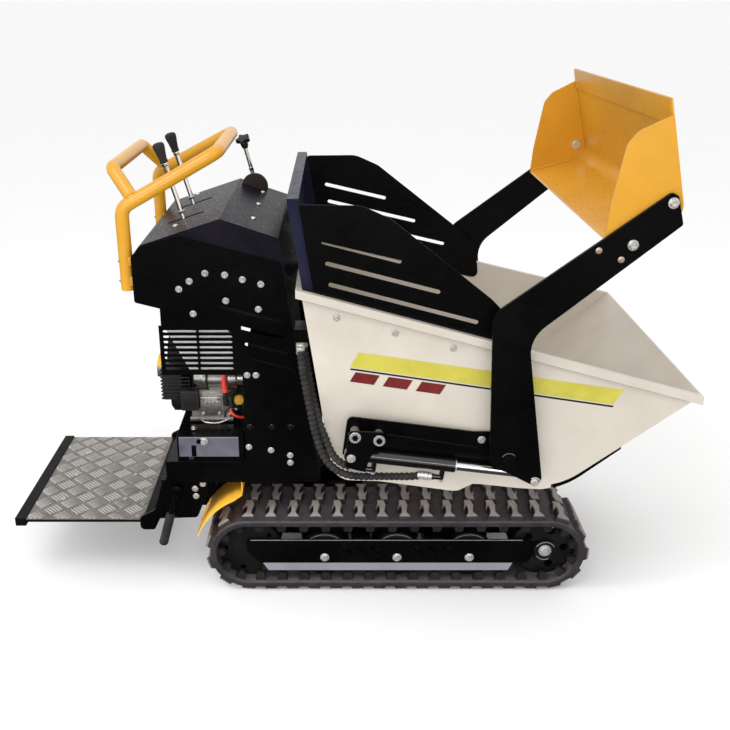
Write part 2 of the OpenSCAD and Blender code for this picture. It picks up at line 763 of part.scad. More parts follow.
module plan(out, x0, x1) {
  polygon([[x0, -wall_hw(x0) - out], [x1, -wall_hw(x1) - out],
    [x1, wall_hw(x1) + out], [x0, wall_hw(x0) + out]]);
}
module skip_solid(t, up) {
  p = [for (i = [0:3]) grown(skip_side, i, -t)];
  rear = unit(xz(p[0]) - xz(p[1]));
  nose = unit(xz(p[3]) - xz(p[2]));
  q = [[p[0][0] + rear[0] * up, p[0][1] + rear[1] * up, 0], p[1], p[2],
    [p[3][0] + nose[0] * up, p[3][1] + nose[1] * up, 0]];
  intersection() {
    slab(-700, 700) rounded(q);
    linear_extrude(3000) plan(-t * sqrt(1 + flare * flare), -400, 1600);
  }
}
module skip_tub() {
  color(cream) {
    difference() {
      skip_solid(0, 0);
      skip_solid(skip_t, 80);
    }
    difference() {
      intersection() {
        slab(-700, 700) polygon([[skip_rear_x - rim_out, rim_at(skip_rear_x - rim_out)], [half_l, lip_z],
          [half_l, lip_z - rim_h], [skip_rear_x - rim_out, rim_at(skip_rear_x - rim_out) - rim_h]]);
        linear_extrude(3000) plan(rim_out, -400, 1600);
      }
      skip_solid(skip_t / 4, 200);
    }
    // shaped skirt along the foot of the side walls
    intersection() {
      slab(-700, 700) {
        rounded([[112, floor_z + 2, 0], [302, floor_z - 20, 60], [350, floor_z - 26, 30],
          [370, floor_z - 25, 30], [416, floor_z + 2, 0]]);
        rounded([[413, floor_z + 2, 0], [549, floor_z - 10, 60], [618, floor_z - 12, 30],
          [646, floor_z - 6, 6], [648, floor_z + 9, 0], [600, floor_z + 3, 0]]);
      }
      difference() {
        linear_extrude(3000) plan(0, -400, 1600);
        linear_extrude(3000) plan(-skip_t * sqrt(1 + flare * flare), -400, 1600);
      }
    }
  }
}
module skip_underframe() {
  color(steel) {
    both() {
      difference() {
        slab(frame_in, frame_out - ear_t - run_gap) rounded([[64, floor_z - 40, 0], [64, floor_z, 0],
          [596, floor_z, 0], [640, floor_z - 18, 20], [684, 424, 20], [684, 384, 20], [640, 380, 24],
          [610, floor_z - 40, 20]]);
        rod_y(tip_pin[0], tip_pin[1], hub_r + pin_clear, 0, 200);
      }
      slab(lug_in, lug_in + ear_t)
        rounded([[290, floor_z, 0], [370, floor_z, 0], [352, 392, 18], [308, 392, 18]]);
      hex_y(tip_head[0], tip_head[1], 24, lug_in + ear_t, lug_in + ear_t + 11);
    }
    both() slab(324, 404) polygon([[-120, block_z], [rear_at(block_z), block_z],
      [rear_at(block_z + block_h), block_z + block_h], [-120, block_z + block_h]]);
    box(110, 150, -frame_in, frame_in, floor_z - 40, floor_z);
    box(500, 540, -frame_in, frame_in, floor_z - 40, floor_z);
    difference() {
      intersection() {
        slab(-456, 456) difference() {
          rounded([for (i = [0:3]) grown(skip_side, i, 16)]);
          rounded(skip_side);
        }
        box(655, 845, -500, 500, 300, 600);
      }
      box(600, 700, -frame_out, frame_out, 300, 700);
    }
  }
}
board_z = 1308;
board_side = [[rear_at(board_z) + 36, board_z, 6], [70, board_z, 90], [150, 1272, 60], [434, 1050, 20],
  [512, 972, 40], [530, 900, 30], [536, rim_at(536) - 62, 20],
  [rear_at(1000) + 36, rim_at(rear_at(1000) + 36) - 62, 6]];
module side_board(side) {
  color(steel) on(side) {
    a = skip_t * sqrt(1 + flare * flare);
    b = (skip_t + board_t) * sqrt(1 + flare * flare);
    intersection() {
      slab(300, 560) difference() {
        rounded(board_side);
        slot2d([-34, 1205], [175, 1154], 12);
        slot2d([-24, 1144], [285, 1068], 12);
        slot2d([-15, 1083], [395, 981], 12);
      }
      linear_extrude(2000) polygon([[-300, wall_hw(-300) - b], [700, wall_hw(700) - b],
        [700, wall_hw(700) - a], [-300, wall_hw(-300) - a]]);
    }
  }
}
module rear_board() {
  color(steel) {
    k = skip_t * sqrt(1 + rear_lean * rear_lean);
    z0 = rim_rear_z - 66;
    z1 = rim_rear_z + 254;
    hw = skip_rear_hw - 14;
    slab(-hw, hw) polygon([[rear_at(z0) + k, z0], [rear_at(z1) + k, z1], [rear_at(z1) + k + 33, z1],
      [rear_at(z1) + k + 33, z1 - board_t], [rear_at(z1 - board_t) + k + board_t, z1 - board_t],
      [rear_at(z0) + k + board_t, z0]]);
    both() slab(hw - board_t, hw) polygon([[rear_at(z0) + k + board_t, z0],
      [rear_at(z1 - board_t) + k + board_t, z1 - board_t], [rear_at(z1) + k + 33, z1 - board_t],
      [rear_at(z0) + k + 33, z0]]);
  }
}
module lift_beam(side) {
  color(steel) on(side) {
    slab(beam_in, beam_out) rounded([[34, 696, 18], [405, 646, 14], [beam_end, 646, 20], [beam_end, 522, 20],
      [18, 568, 10]]);
    difference() {
      for (x = [50, 390]) box(x, x + 60, 380, beam_in, 592, 636);
      linear_extrude(2000) plan(0, -400, 1600);
    }
    rod_y(hub[0], hub[1], 28, beam_out, arm_in - run_gap);
    rod_y(hub[0], hub[1], hub_r, arm_in - run_gap, arm_out + run_gap);
    slab(clevis_in, clevis_in + clevis_t)
      rounded([[26, 556, 12], [36, 672, 12], [146, 668, 12], [100, 588, 14], [84, 540, 12]]);
    for (p = clevis_bolts) rod_y(p[0], p[1], 12, beam_out, clevis_in);
    rod_y(lift_root[0], lift_root[1], 10, beam_out, clevis_in);
  }
}
rim_bolt_x = [2, 169, 335];
clevis_bolts = [[55, 653], [125, 643]];
module skip_bolts() {
  color(metal) {
    both() {
      for (x = rim_bolt_x) {
        translate([x, wall_hw(x), rim_at(x) - 54]) rotate([0, 0, atan(flare)]) hex_y(0, 0, 13, 0, 6);
      }
      hex_y(hub[0], hub[1], 34, arm_out + run_gap, arm_out + 17);
      for (p = concat(clevis_bolts, [lift_root])) {
        hex_y(p[0], p[1], 17, clevis_in + clevis_t, clevis_in + clevis_t + 8);
      }
      hex_y(429, 621, 15, beam_out, beam_out + 7);
    }
  }
}
module arm(side) {
  color(steel) on(side) {
    slab(arm_in, arm_out) difference() {
      rounded([[428, 1028, 62], [872, 1362, 14], [890, 1352, 10], [912, 1276, 10],
        [533, 957, 95], [604, 520, 26], [594, 488, 22], [470, 556, 22], [448, 572, 24]]);
      translate(hub) circle(r = hub_r + pin_clear);
    }
  }
}
shovel_edge = [843, 1597];
shovel_heel = [918, 1289];
shovel_lip = [712, 1233];
shovel_bend = 46;
module shovel() {
  color(yellow) {
    blade = [[shovel_edge[0], shovel_edge[1], 0], [shovel_heel[0], shovel_heel[1], shovel_bend],
      [shovel_lip[0], shovel_lip[1], 0]];
    inner = [for (i = [0:2]) grown(blade, i, -shovel_t)];
    front = xz(inner[1]) + (shovel_edge - shovel_heel) * 1.2;
    back = xz(inner[1]) + (shovel_lip - shovel_heel) * 1.2;
    slab(-arm_in, arm_in) difference() {
      rounded(blade);
      rounded([[front[0], front[1], 0], inner[1], [back[0], back[1], 0]]);
    }
    both() slab(arm_in - shovel_t, arm_in)
      rounded([[853, 1557, 6], [769, 1515, 40], [744, 1483, 40], [718, 1322, 40],
      [shovel_lip[0], shovel_lip[1], 4], [shovel_heel[0], shovel_heel[1], shovel_bend]]);
  }
}
module loader_bolts() {
  color(metal) {
    both() {
      hex_y(keeper[0], keeper[1], 24, arm_out, arm_out + 12);
      hex_y(878, 1334, 19, arm_out, arm_out + 9);
      hex_y(786, 1222, 19, arm_out, arm_out + 9);
      rod_y(759, 1182, 9, arm_out, arm_out + 3);
      rod_y(697, 1207, 9, arm_out, arm_out + 3);
    }
  }
}
module cylinder_axis(root, angle) {
  translate([root[0], 0, root[1]]) rotate([0, -angle, 0]) children();
}
module lift_barrel(side) {
  color(steel) on(side) {
    bore = barrel_r - 4;
    translate([0, lift_y, 0]) cylinder_axis(lift_root, lift_angle) {
      difference() {
        union() {
          rod_y(0, 0, 20, -18, 18);
          box(0, 46, -12, 12, -14, 14);
          rod_x(0, 0, barrel_r, 45, gland_at);
          rod_x(0, 0, barrel_r + 0.8, gland_at - 26, gland_at);
          for (s = [port_rear, port_front]) {
            translate([s, 0, -port_drop]) cylinder(h = port_drop - 14, r = port_r);
            translate([s, 0, -port_drop]) sphere(r = port_r);
            rod_x(0, -port_drop, port_r, s - port_back + 12, s);
            rod_x(0, -port_drop, port_r + 2, s - port_back + run_gap, s - port_back + 12);
          }
        }
        rod_y(0, 0, 10 + pin_clear, -20, 20);
        rod_x(0, 0, bore, 58, gland_at - 20);
        rod_x(0, 0, rod_r + pin_clear, 58, gland_at + 1);
      }
    }
  }
}
module lift_rod(side) {
  color(metal) on(side) {
    translate([0, lift_y, 0]) cylinder_axis(lift_root, lift_angle) {
      rod_x(0, 0, rod_r, lift_len - 286, lift_len);
      rod_x(0, 0, barrel_r - 4 - pin_clear, lift_len - 286, lift_len - 262);
      rod_y(lift_len, 0, 20, -18, lift_room / 2 - run_gap);
    }
  }
}
module tip_barrel() {
  color(steel) {
    cylinder_axis(tip_root, tip_angle) difference() {
      union() {
        rod_y(0, 0, 24, -26, 26);
        box(0, 52, -14, 14, -18, 18);
        rod_x(0, 0, 27, 50, tip_gland);
      }
      rod_y(0, 0, 12 + pin_clear, -30, 30);
      rod_x(0, 0, 22, 64, tip_gland - 24);
      rod_x(0, 0, 14 + pin_clear, 64, tip_gland + 1);
    }
  }
}
module tip_rod() {
  color(metal) {
    cylinder_axis(tip_root, tip_angle) {
      rod_x(0, 0, 14, 70, tip_len);
      rod_x(0, 0, 22 - pin_clear, 70, 92);
      rod_y(tip_len, 0, 22, -26, 26);
    }
  }
}
// Two ribbed hoses a side, from the ports of the lift cylinder to the block behind the tub.
hose_r = 9.5;
hose_rib = 2.5;
hose_bore = 6;
hose_start = 20;
block_z = 905;
block_h = 40;
axis_dir = [cos(lift_angle), sin(lift_angle)];
function port(s) = lift_root + axis_dir * (s - port_back) + [axis_dir[1], -axis_dir[0]] * port_drop;
function start(s) = [for (k = [0, hose_start]) let (q = port(s) - axis_dir * k) [q[0], lift_y, q[1]]];
route_front = concat(start(port_front), [[222, 481, 510], [184, 478, 508], [146, 474, 506],
  [110, 470.5, 504], [76, 471, 504], [44, 474, 509], [14, 474, 520], [-11, 471, 537], [-31, 466, 561],
  [-47, 460, 594], [-59, 452, 632], [-69, 443, 674], [-78, 431, 718], [-87, 417, 762], [-95, 402, 803],
  [-101, 390, 839], [-103, 383, 864], [-104, 380, block_z - hose_start], [-104, 380, block_z]]);
route_rear = concat(start(port_rear), [[35.5, 480, 544], [14, 477, 554], [-5, 471, 570], [-19, 462, 592],
  [-31, 451, 620], [-45, 437, 652], [-57, 421, 688], [-66, 404, 724], [-75, 387, 762], [-83, 371, 800],
  [-89, 359, 833], [-94, 351, 862], [-96, 348, block_z - hose_start], [-96, 348, block_z]]);
function spline(p, t) =
  let (n = len(p) - 1, i = min(floor(t * n), n - 1), u = t * n - i,
       a = p[max(i - 1, 0)], b = p[i], c = p[i + 1], d = p[min(i + 2, n)])
  (b * 2 + (c - a) * u + (a * 2 - b * 5 + c * 4 - d) * u * u + (b * 3 - a - c * 3 + d) * u * u * u) / 2;
function heading(p, t) = unit(spline(p, min(t + 0.002, 1)) - spline(p, max(t - 0.002, 0)));
function ring(p, t, r) =
  let (d = heading(p, t), n = unit(cross(d, [0, 1, 0])), b = cross(d, n), c = spline(p, t))
  [for (k = [0:7]) c + n * r * cos(k * 45) + b * r * sin(k * 45)];
module hose(p, ribs) {
  last = 2 * ribs;
  o = 8 * (last + 1);
  f = o + 8 * ribs;
  skin = [for (i = [0:last]) each ring(p, i / last, i % 2 == 0 ? hose_r : hose_r + hose_rib)];
  bore = [for (i = [0:ribs]) each ring(p, i / ribs, hose_bore)];
  skin_faces = [for (i = [0:last - 1], k = [0:7]) let (a = 8 * i + k, b = 8 * i + (k + 1) % 8)
    each [[a, b, b + 8], [a, b + 8, a + 8]]];
  bore_faces = [for (i = [0:ribs - 1], k = [0:7]) let (a = o + 8 * i + k, b = o + 8 * i + (k + 1) % 8)
    each [[a, b + 8, b], [a, a + 8, b + 8]]];
  near_end = [for (k = [0:7]) let (j = (k + 1) % 8) each [[k, o + k, o + j], [k, o + j, j]]];
  far_end = [for (k = [0:7]) let (j = (k + 1) % 8, e = 8 * last)
    each [[e + k, f + j, f + k], [e + k, e + j, f + j]]];
  polyhedron(concat(skin, bore), concat(skin_faces, bore_faces, near_end, far_end), 10);
}
module hoses(side) {
  color(rubber) on(side) {
    hose(route_front, 44);
    hose(route_rear, 30);
  }
}

module travel_motors() {
  color(metal) both() travel_motor();
}

main_frame();
track_frame("right");  // track_frame_right
track_frame("left");  // track_frame_left
track_belt("right");  // track_belt_right
track_belt("left");  // track_belt_left
travel_motors();
sprocket("right");  // sprocket_right
sprocket("left");  // sprocket_left
idler("right");  // idler_right
idler("left");  // idler_left
roller("right", 0);  // roller_right_1
roller("right", 1);  // roller_right_2
roller("right", 2);  // roller_right_3
roller("left", 0);  // roller_left_1
roller("left", 1);  // roller_left_2
roller("left", 2);  // roller_left_3
side_panels();
console_shell();
console_cheeks();
handlebar();
chassis_bolts();
engine_bed();
engine_block();
fan_shroud();
starter_motor();
muffler();
guards();
fuel_tank();
hydraulic_tank();
control_valve();
gear_pump();
fenders();
platform_brackets();
platform_deck();
platform_rails();
foot_lever();
drive_lever("right");  // drive_lever_right
drive_lever("left");  // drive_lever_left
throttle_quadrant();
throttle_lever();
skip_tub();
skip_underframe();
side_board("right");  // side_board_right
side_board("left");  // side_board_left
rear_board();
lift_beam("right");  // lift_beam_right
lift_beam("left");  // lift_beam_left
skip_bolts();
hoses("right");  // hoses_right
hoses("left");  // hoses_left
arm("right");  // arm_right
arm("left");  // arm_left
shovel();
loader_bolts();
lift_barrel("right");  // lift_barrel_right
lift_barrel("left");  // lift_barrel_left
lift_rod("right");  // lift_rod_right
lift_rod("left");  // lift_rod_left
tip_barrel();
tip_rod();
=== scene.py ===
"""Looks of a tracked power carrier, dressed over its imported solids.

X points forward, Y to the machine's left, Z up, and the ground is z = 0. The scene is in metres.
Pieces are drawn in millimetres and scaled when they are finished.
"""
from math import cos, pi, radians, sin, sqrt, tan

import bmesh
import bpy
from mathutils import Matrix, Vector


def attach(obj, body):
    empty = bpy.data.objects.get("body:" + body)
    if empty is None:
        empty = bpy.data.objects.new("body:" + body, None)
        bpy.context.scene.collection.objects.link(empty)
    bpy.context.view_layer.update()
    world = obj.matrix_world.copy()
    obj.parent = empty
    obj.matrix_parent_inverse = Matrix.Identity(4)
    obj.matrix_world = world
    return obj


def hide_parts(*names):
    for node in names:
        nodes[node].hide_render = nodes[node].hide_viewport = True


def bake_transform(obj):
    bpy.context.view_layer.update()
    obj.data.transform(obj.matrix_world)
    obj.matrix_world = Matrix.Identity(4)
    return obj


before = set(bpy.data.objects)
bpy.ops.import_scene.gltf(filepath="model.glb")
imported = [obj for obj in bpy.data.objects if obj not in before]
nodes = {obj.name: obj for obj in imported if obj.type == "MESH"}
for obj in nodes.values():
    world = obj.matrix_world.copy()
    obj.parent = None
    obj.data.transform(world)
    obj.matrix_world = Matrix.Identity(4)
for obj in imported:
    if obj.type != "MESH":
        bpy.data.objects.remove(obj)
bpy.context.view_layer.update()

scene = bpy.context.scene
MM = 0.001
SIDES = {"right": -1, "left": 1}


# Camera and light

IMAGE_PX = 730
FOCAL_PX = 909
AXIS_PX = 336
CAMERA_AT = (0, -2.86, 1.833)
CAMERA_PITCH = 22.1


def put(name, data):
    made = bpy.data.objects.new(name, data)
    scene.collection.objects.link(made)
    return made


def make_camera():
    data = bpy.data.cameras.new("photo_camera")
    data.sensor_width = 36
    data.lens = data.sensor_width * FOCAL_PX / IMAGE_PX
    data.shift_x = (IMAGE_PX / 2 - AXIS_PX) / IMAGE_PX
    data.clip_end = 1000
    camera = put("photo_camera", data)
    camera.location = CAMERA_AT
    camera.rotation_euler = (radians(90 - CAMERA_PITCH), 0, 0)
    scene.camera = camera


def area_light(name, at, aim, size, watts, mirrored=True, spread=180):
    data = bpy.data.lights.new(name, "AREA")
    data.shape = "RECTANGLE"
    data.size, data.size_y = size
    data.energy = watts
    data.spread = radians(spread)
    light = put(name, data)
    light.location = at
    light.visible_camera = False
    light.visible_glossy = mirrored
    light.rotation_mode = "QUATERNION"
    light.rotation_quaternion = (Vector(aim) - Vector(at)).to_track_quat("-Z", "Y")


# Shader helpers

def shader(name, metallic=0.0, **constants):
    """A material with its principled shader, whose sockets take the constants directly."""
    made = bpy.data.materials.new(name)
    made.use_nodes = True
    surface = made.node_tree.nodes["Principled BSDF"]
    surface.inputs["Metallic"].default_value = metallic
    for key, value in constants.items():
        surface.inputs[key.replace("_", " ")].default_value = value
    return made, made.node_tree, surface


def add_node(tree, kind, settings=None, **sockets):
    made = tree.nodes.new("ShaderNode" + kind)
    for key, value in (settings or {}).items():
        setattr(made, key, value)
    for key, value in sockets.items():
        made.inputs[key.replace("_", " ")].default_value = value
    return made


def noise(tree, scale, detail=4.0, stretch=(1, 1, 1)):
    """Cloudy values in the piece's own space, longer along the axes where stretch is small."""
    place = add_node(tree, "TexCoord")
    mapped = add_node(tree, "Mapping", Scale=stretch)
    cloud = add_node(tree, "TexNoise", Scale=scale, Detail=detail, Roughness=0.55)
    tree.links.new(place.outputs["Object"], mapped.inputs["Vector"])
    tree.links.new(mapped.outputs["Vector"], cloud.inputs["Vector"])
    return cloud.outputs["Fac"]


def ranged(tree, value, low, high, to_low=0, to_high=1):
    made = add_node(tree, "MapRange", From_Min=low, From_Max=high, To_Min=to_low, To_Max=to_high)
    tree.links.new(value, made.inputs["Value"])
    return made.outputs["Result"]


def blend(tree, amount, first, second):
    """A mix of two colours, either of which may be a socket."""
    made = add_node(tree, "Mix", {"data_type": "RGBA"})
    tree.links.new(amount, made.inputs["Factor"])
    for key, value in ((6, first), (7, second)):
        if isinstance(value, tuple):
            made.inputs[key].default_value = (*value, 1)
        else:
            tree.links.new(value, made.inputs[key])
    return made.outputs[2]


def product(tree, first, second):
    made = add_node(tree, "Math", {"operation": "MULTIPLY"})
    tree.links.new(first, made.inputs[0])
    tree.links.new(second, made.inputs[1])
    return made.outputs[0]


def bumped(tree, surface, height, strength, distance):
    made = add_node(tree, "Bump", Strength=strength, Distance=distance)
    tree.links.new(height, made.inputs["Height"])
    tree.links.new(made.outputs["Normal"], surface.inputs["Normal"])


def cover(tree, surface, tone, rough):
    tree.links.new(tone, surface.inputs["Base Color"])
    tree.links.new(rough, surface.inputs["Roughness"])


def upward(tree):
    """1 on faces that look up, 0 on those that look level or down."""
    facing = add_node(tree, "NewGeometry")
    parts = add_node(tree, "SeparateXYZ")
    tree.links.new(facing.outputs["Normal"], parts.inputs["Vector"])
    return ranged(tree, parts.outputs["Z"], 0.3, 1.0)


# Materials

def paint(name, deep, pale, dust, dusty, rough, peel=0.05, coat=0.25, gloss=0.5):
    """Sprayed enamel: a cloudy tone, orange peel, hair scratches and patchy dust."""
    made, tree, surface = shader(name, Coat_Weight=coat, Coat_Roughness=0.12, Specular_IOR_Level=gloss)
    tone = blend(tree, ranged(tree, noise(tree, 5), 0.35, 0.65), deep, pale)
    patches = ranged(tree, noise(tree, 9, 6), 0.5, 0.78, 0, dusty)
    specks = ranged(tree, noise(tree, 160, 2), 0.62, 0.75, 0, dusty * 0.8)
    tone = blend(tree, patches, tone, dust)
    tone = blend(tree, specks, tone, dust)
    hair = noise(tree, 45, 3, (1, 1, 14))
    cover(tree, surface, tone, ranged(tree, hair, 0.3, 0.7, *rough))
    bumped(tree, surface, noise(tree, 420, 2), peel, 0.001)
    return made


def rubber(name, deep, pale, dust, dusty, grain=90, top=None):
    """Moulded rubber: matt, grained, paler where dirt has dried; top is a paler tone painted on upward
    faces, painted light from above.
    """
    made, tree, surface = shader(name, Specular_IOR_Level=0.35)
    tone = blend(tree, ranged(tree, noise(tree, 14, 6), 0.35, 0.65), deep, pale)
    tone = blend(tree, ranged(tree, noise(tree, 32, 5), 0.45, 0.7, 0, dusty), tone, dust)
    if top:
        # painted light: upward faces are blended towards the top tone, standing in for light from above
        painted_top_light = product(tree, upward(tree), ranged(tree, noise(tree, 26, 5), 0.25, 0.6, 0.55, 1))
        tone = blend(tree, painted_top_light, tone, top)
    cover(tree, surface, tone, ranged(tree, noise(tree, 40), 0.3, 0.7, 0.6, 0.9))
    bumped(tree, surface, noise(tree, grain, 5), 0.35, 0.002)
    return made


def metal(name, deep, pale, rough, stretch=(1, 1, 1), grain=60, relief=0.05, stain=None, metallic=1.0):
    """Bare or plated metal with a drawn or cast grain and an optional stain."""
    made, tree, surface = shader(name, metallic)
    tone = blend(tree, ranged(tree, noise(tree, grain, 4, stretch), 0.3, 0.7), deep, pale)
    if stain:
        tone = blend(tree, ranged(tree, noise(tree, 24, 5), 0.5, 0.75, 0, 0.7), tone, stain)
    cover(tree, surface, tone, ranged(tree, noise(tree, grain * 2, 3, stretch), 0.3, 0.7, *rough))
    bumped(tree, surface, noise(tree, grain * 4, 3, stretch), relief, 0.001)
    return made


def plastic(name, deep, pale, rough=(0.3, 0.45)):
    """Moulded plastic with a fine spark-eroded grain."""
    made, tree, surface = shader(name, Specular_IOR_Level=0.4)
    tone = blend(tree, ranged(tree, noise(tree, 20), 0.35, 0.65), deep, pale)
    cover(tree, surface, tone, ranged(tree, noise(tree, 60), 0.3, 0.7, *rough))
    bumped(tree, surface, noise(tree, 700, 2), 0.12, 0.0005)
    return made


black = paint(
    "black_enamel", (0.001, 0.001, 0.0012), (0.0022, 0.002, 0.0022), (0.018, 0.015, 0.014), 0.1,
    (0.22, 0.36), coat=0, gloss=0.12)
gloss_black = paint(
    "gloss_enamel", (0.002, 0.002, 0.002), (0.004, 0.004, 0.004), (0.02, 0.018, 0.016), 0.1, (0.05, 0.1),
    0.01, 0.9)
console_black = paint(
    "console_enamel", (0.005, 0.0045, 0.008), (0.012, 0.01, 0.016), (0.05, 0.034, 0.04), 0.3,
    (0.24, 0.4), coat=0, gloss=0.05)
iron = paint("iron_enamel", (0.003, 0.003, 0.0032), (0.007, 0.0065, 0.0065), (0.04, 0.036, 0.033), 0.2,
             (0.4, 0.6), 0.25, 0, 0.25)
matt_black = paint(
    "matt_black", (0.003, 0.003, 0.0035), (0.007, 0.0065, 0.007), (0.03, 0.026, 0.024), 0.15, (0.3, 0.5),
    coat=0, gloss=0.06)
navy_black = paint("navy_black", (0.009, 0.009, 0.024), (0.016, 0.016, 0.04), (0.04, 0.038, 0.05), 0.15,
                   (0.25, 0.4), coat=0, gloss=0.1)
worn_brown = paint("worn_brown", (0.012, 0.009, 0.008), (0.03, 0.021, 0.017), (0.07, 0.055, 0.045), 0.3,
                   (0.3, 0.5), coat=0, gloss=0.2)
satin_grey = paint(
    "satin_grey", (0.15, 0.15, 0.185), (0.2, 0.2, 0.235), (0.14, 0.13, 0.13), 0.2, (0.3, 0.45))
box_grey = paint(
    "box_grey", (0.06, 0.062, 0.082), (0.17, 0.172, 0.205), (0.045, 0.042, 0.045), 0.45, (0.25, 0.45))
# Painted highlight: a grey for thin lines and arcs that stand in for edge highlights.
painted_highlight_grey = paint("painted_highlight_grey", (0.1, 0.1, 0.11), (0.2, 0.2, 0.21), (0.05, 0.045, 0.045), 0.4, (0.3, 0.5))
yellow = paint(
    "yellow_enamel", (0.65, 0.305, 0.012), (0.72, 0.35, 0.02), (0.46, 0.24, 0.045), 0.16, (0.24, 0.42))
# Painted light: a lighter copy of the yellow enamel for the fenders, where they are lit from the front.
lit_fender_yellow = paint(
    "yellow_enamel_painted_light", (0.82, 0.4, 0.03), (0.88, 0.45, 0.045), (0.6, 0.31, 0.06), 0.16, (0.24, 0.42))
cream = paint(
    "cream_enamel", (0.54, 0.49, 0.42), (0.595, 0.545, 0.475), (0.42, 0.38, 0.32), 0.22, (0.28, 0.46))
# Painted shadow: a dark strip under the rim's overhanging fold.
rim_shadow_paint = paint(
    "rim_shadow_enamel", (0.07, 0.058, 0.05), (0.11, 0.095, 0.085), (0.2, 0.18, 0.15), 0.2, (0.5, 0.7), 0.2, 0)
# The top tones of the belt and lug rubber are painted light: paler upward faces where light from above
# falls.
belt_rubber = rubber(
    "belt_rubber", (0.016, 0.014, 0.016), (0.028, 0.024, 0.027), (0.06, 0.053, 0.055), 0.3,
    top=(0.12, 0.102, 0.11))
guide_rubber = rubber(
    "guide_rubber", (0.006, 0.0055, 0.0055), (0.012, 0.011, 0.011), (0.03, 0.026, 0.025), 0.2)
lug_rubber = rubber("lug_rubber", (0.1, 0.09, 0.086), (0.16, 0.147, 0.14), (0.23, 0.21, 0.197), 0.5,
                    top=(0.41, 0.36, 0.345))
hose_rubber = rubber(
    "hose_rubber", (0.012, 0.0105, 0.0105), (0.026, 0.023, 0.022), (0.085, 0.075, 0.07), 0.2, 300)
grip_rubber = rubber(
    "grip_rubber", (0.012, 0.011, 0.011), (0.022, 0.02, 0.02), (0.06, 0.05, 0.045), 0.2, 240)
zinc = metal(
    "zinc_plate", (0.66, 0.65, 0.62), (0.84, 0.83, 0.81), (0.22, 0.4), grain=120,
    stain=(0.52, 0.48, 0.42), metallic=0.7)
chrome = metal("hard_chrome", (0.78, 0.78, 0.78), (0.9, 0.9, 0.9), (0.06, 0.14), (1, 1, 8), 80, 0.01)
cast = metal("cast_aluminium", (0.42, 0.4, 0.37), (0.62, 0.6, 0.56), (0.35, 0.6), grain=180, relief=0.3,
             stain=(0.2, 0.17, 0.13))
tread = metal("tread_sheet", (0.2, 0.185, 0.17), (0.31, 0.29, 0.275), (0.42, 0.62), (1, 6, 1), 40, 0.1,
              (0.14, 0.12, 0.105))
tread_bar = metal(
    "tread_bar", (0.46, 0.435, 0.41), (0.64, 0.61, 0.585), (0.3, 0.48), (1, 4, 1), 60, 0.05)
moulded = plastic("black_moulding", (0.008, 0.008, 0.008), (0.016, 0.015, 0.015), (0.35, 0.55))
red_sleeve = plastic("red_sleeve", (0.55, 0.03, 0.02), (0.68, 0.06, 0.04))
copper = metal(
    "copper_rivet", (0.5, 0.33, 0.25), (0.66, 0.48, 0.39), (0.3, 0.5), grain=120, metallic=0.7)
bare_steel = metal(
    "bare_steel", (0.22, 0.2, 0.185), (0.34, 0.31, 0.29), (0.35, 0.55), (1, 6, 1), 60, 0.05,
    metallic=0.5)
starter_metal = metal(
    "bright_casting", (0.55, 0.52, 0.48), (0.75, 0.72, 0.68), (0.25, 0.45), grain=140, relief=0.1,
    stain=(0.32, 0.28, 0.23))
# Painted light: a near-white sheet behind the guard's slots, for the backdrop seen through them.
backdrop_light_sheet = metal(
    "painted_backdrop_light", (0.8, 0.8, 0.8), (0.92, 0.92, 0.91), (0.4, 0.6), (1, 1, 5), 50, 0.05, metallic=0.2)
stripe_lime = plastic("lime_film", (0.48, 0.43, 0.05), (0.55, 0.49, 0.065))
stripe_red = plastic("dark_red_film", (0.12, 0.008, 0.008), (0.17, 0.014, 0.012))
stripe_black = plastic("black_film", (0.01, 0.009, 0.009), (0.018, 0.016, 0.016))
amber = plastic("amber_cap", (0.75, 0.4, 0.03), (0.85, 0.5, 0.05))


# Mesh helpers

def turned(direction, at):
    """The matrix that takes +Z to a direction and the origin to a place."""
    return Matrix.Translation(at) @ Vector(direction).to_track_quat("Z", "Y").to_matrix().to_4x4()


def upright(y):
    """Takes local XY to the world's XZ plane at y, and local Z to +Y."""
    return Matrix(((1, 0, 0, 0), (0, 0, 1, y), (0, 1, 0, 0), (0, 0, 0, 1)))


def faces_between(bm, first, second, slot=0):
    """A closed band of faces between two rings of vertices."""
    for i in range(len(first)):
        j = (i + 1) % len(first)
        bm.faces.new((first[i], first[j], second[j], second[i])).material_index = slot


def loft(bm, rings, slot=0):
    """A solid through rings of vertices, with both ends capped."""
    for first, second in zip(rings, rings[1:]):
        faces_between(bm, first, second, slot)
    bm.faces.new(rings[0][::-1]).material_index = slot
    bm.faces.new(rings[-1]).material_index = slot


def lathe(bm, profile, matrix, sides, slot=0):
    """A body of revolution about local Z; the profile lists (radius, height)."""
    rings = []
    for radius, height in profile:
        ring = []
        for k in range(sides):
            turn = 2 * pi * k / sides
            point = Vector((radius * cos(turn), radius * sin(turn), height))
            ring.append(bm.verts.new(matrix @ point))
        rings.append(ring)
    loft(bm, rings, slot)


def prism(bm, outline, height, matrix, round_off, slot=0):
    """An outline in local XY, raised along local Z, with its top and foot edges rounded."""
    foot = [bm.verts.new((x, y, 0)) for x, y in outline]
    top = [bm.verts.new((x, y, height)) for x, y in outline]
    faces_between(bm, foot, top, slot)
    caps = [bm.faces.new(foot[::-1]), bm.faces.new(top)]
    for cap in caps:
        cap.material_index = slot
    edges = list({e for cap in caps for e in cap.edges})
    made = bmesh.ops.bevel(bm, geom=edges, offset=round_off, segments=2, affect="EDGES", profile=0.6,
                           clamp_overlap=True, material=-1)
    verts = {v for v in foot + top if v.is_valid} | {v for f in made["faces"] for v in f.verts}
    bmesh.ops.transform(bm, matrix=matrix, verts=list(verts))


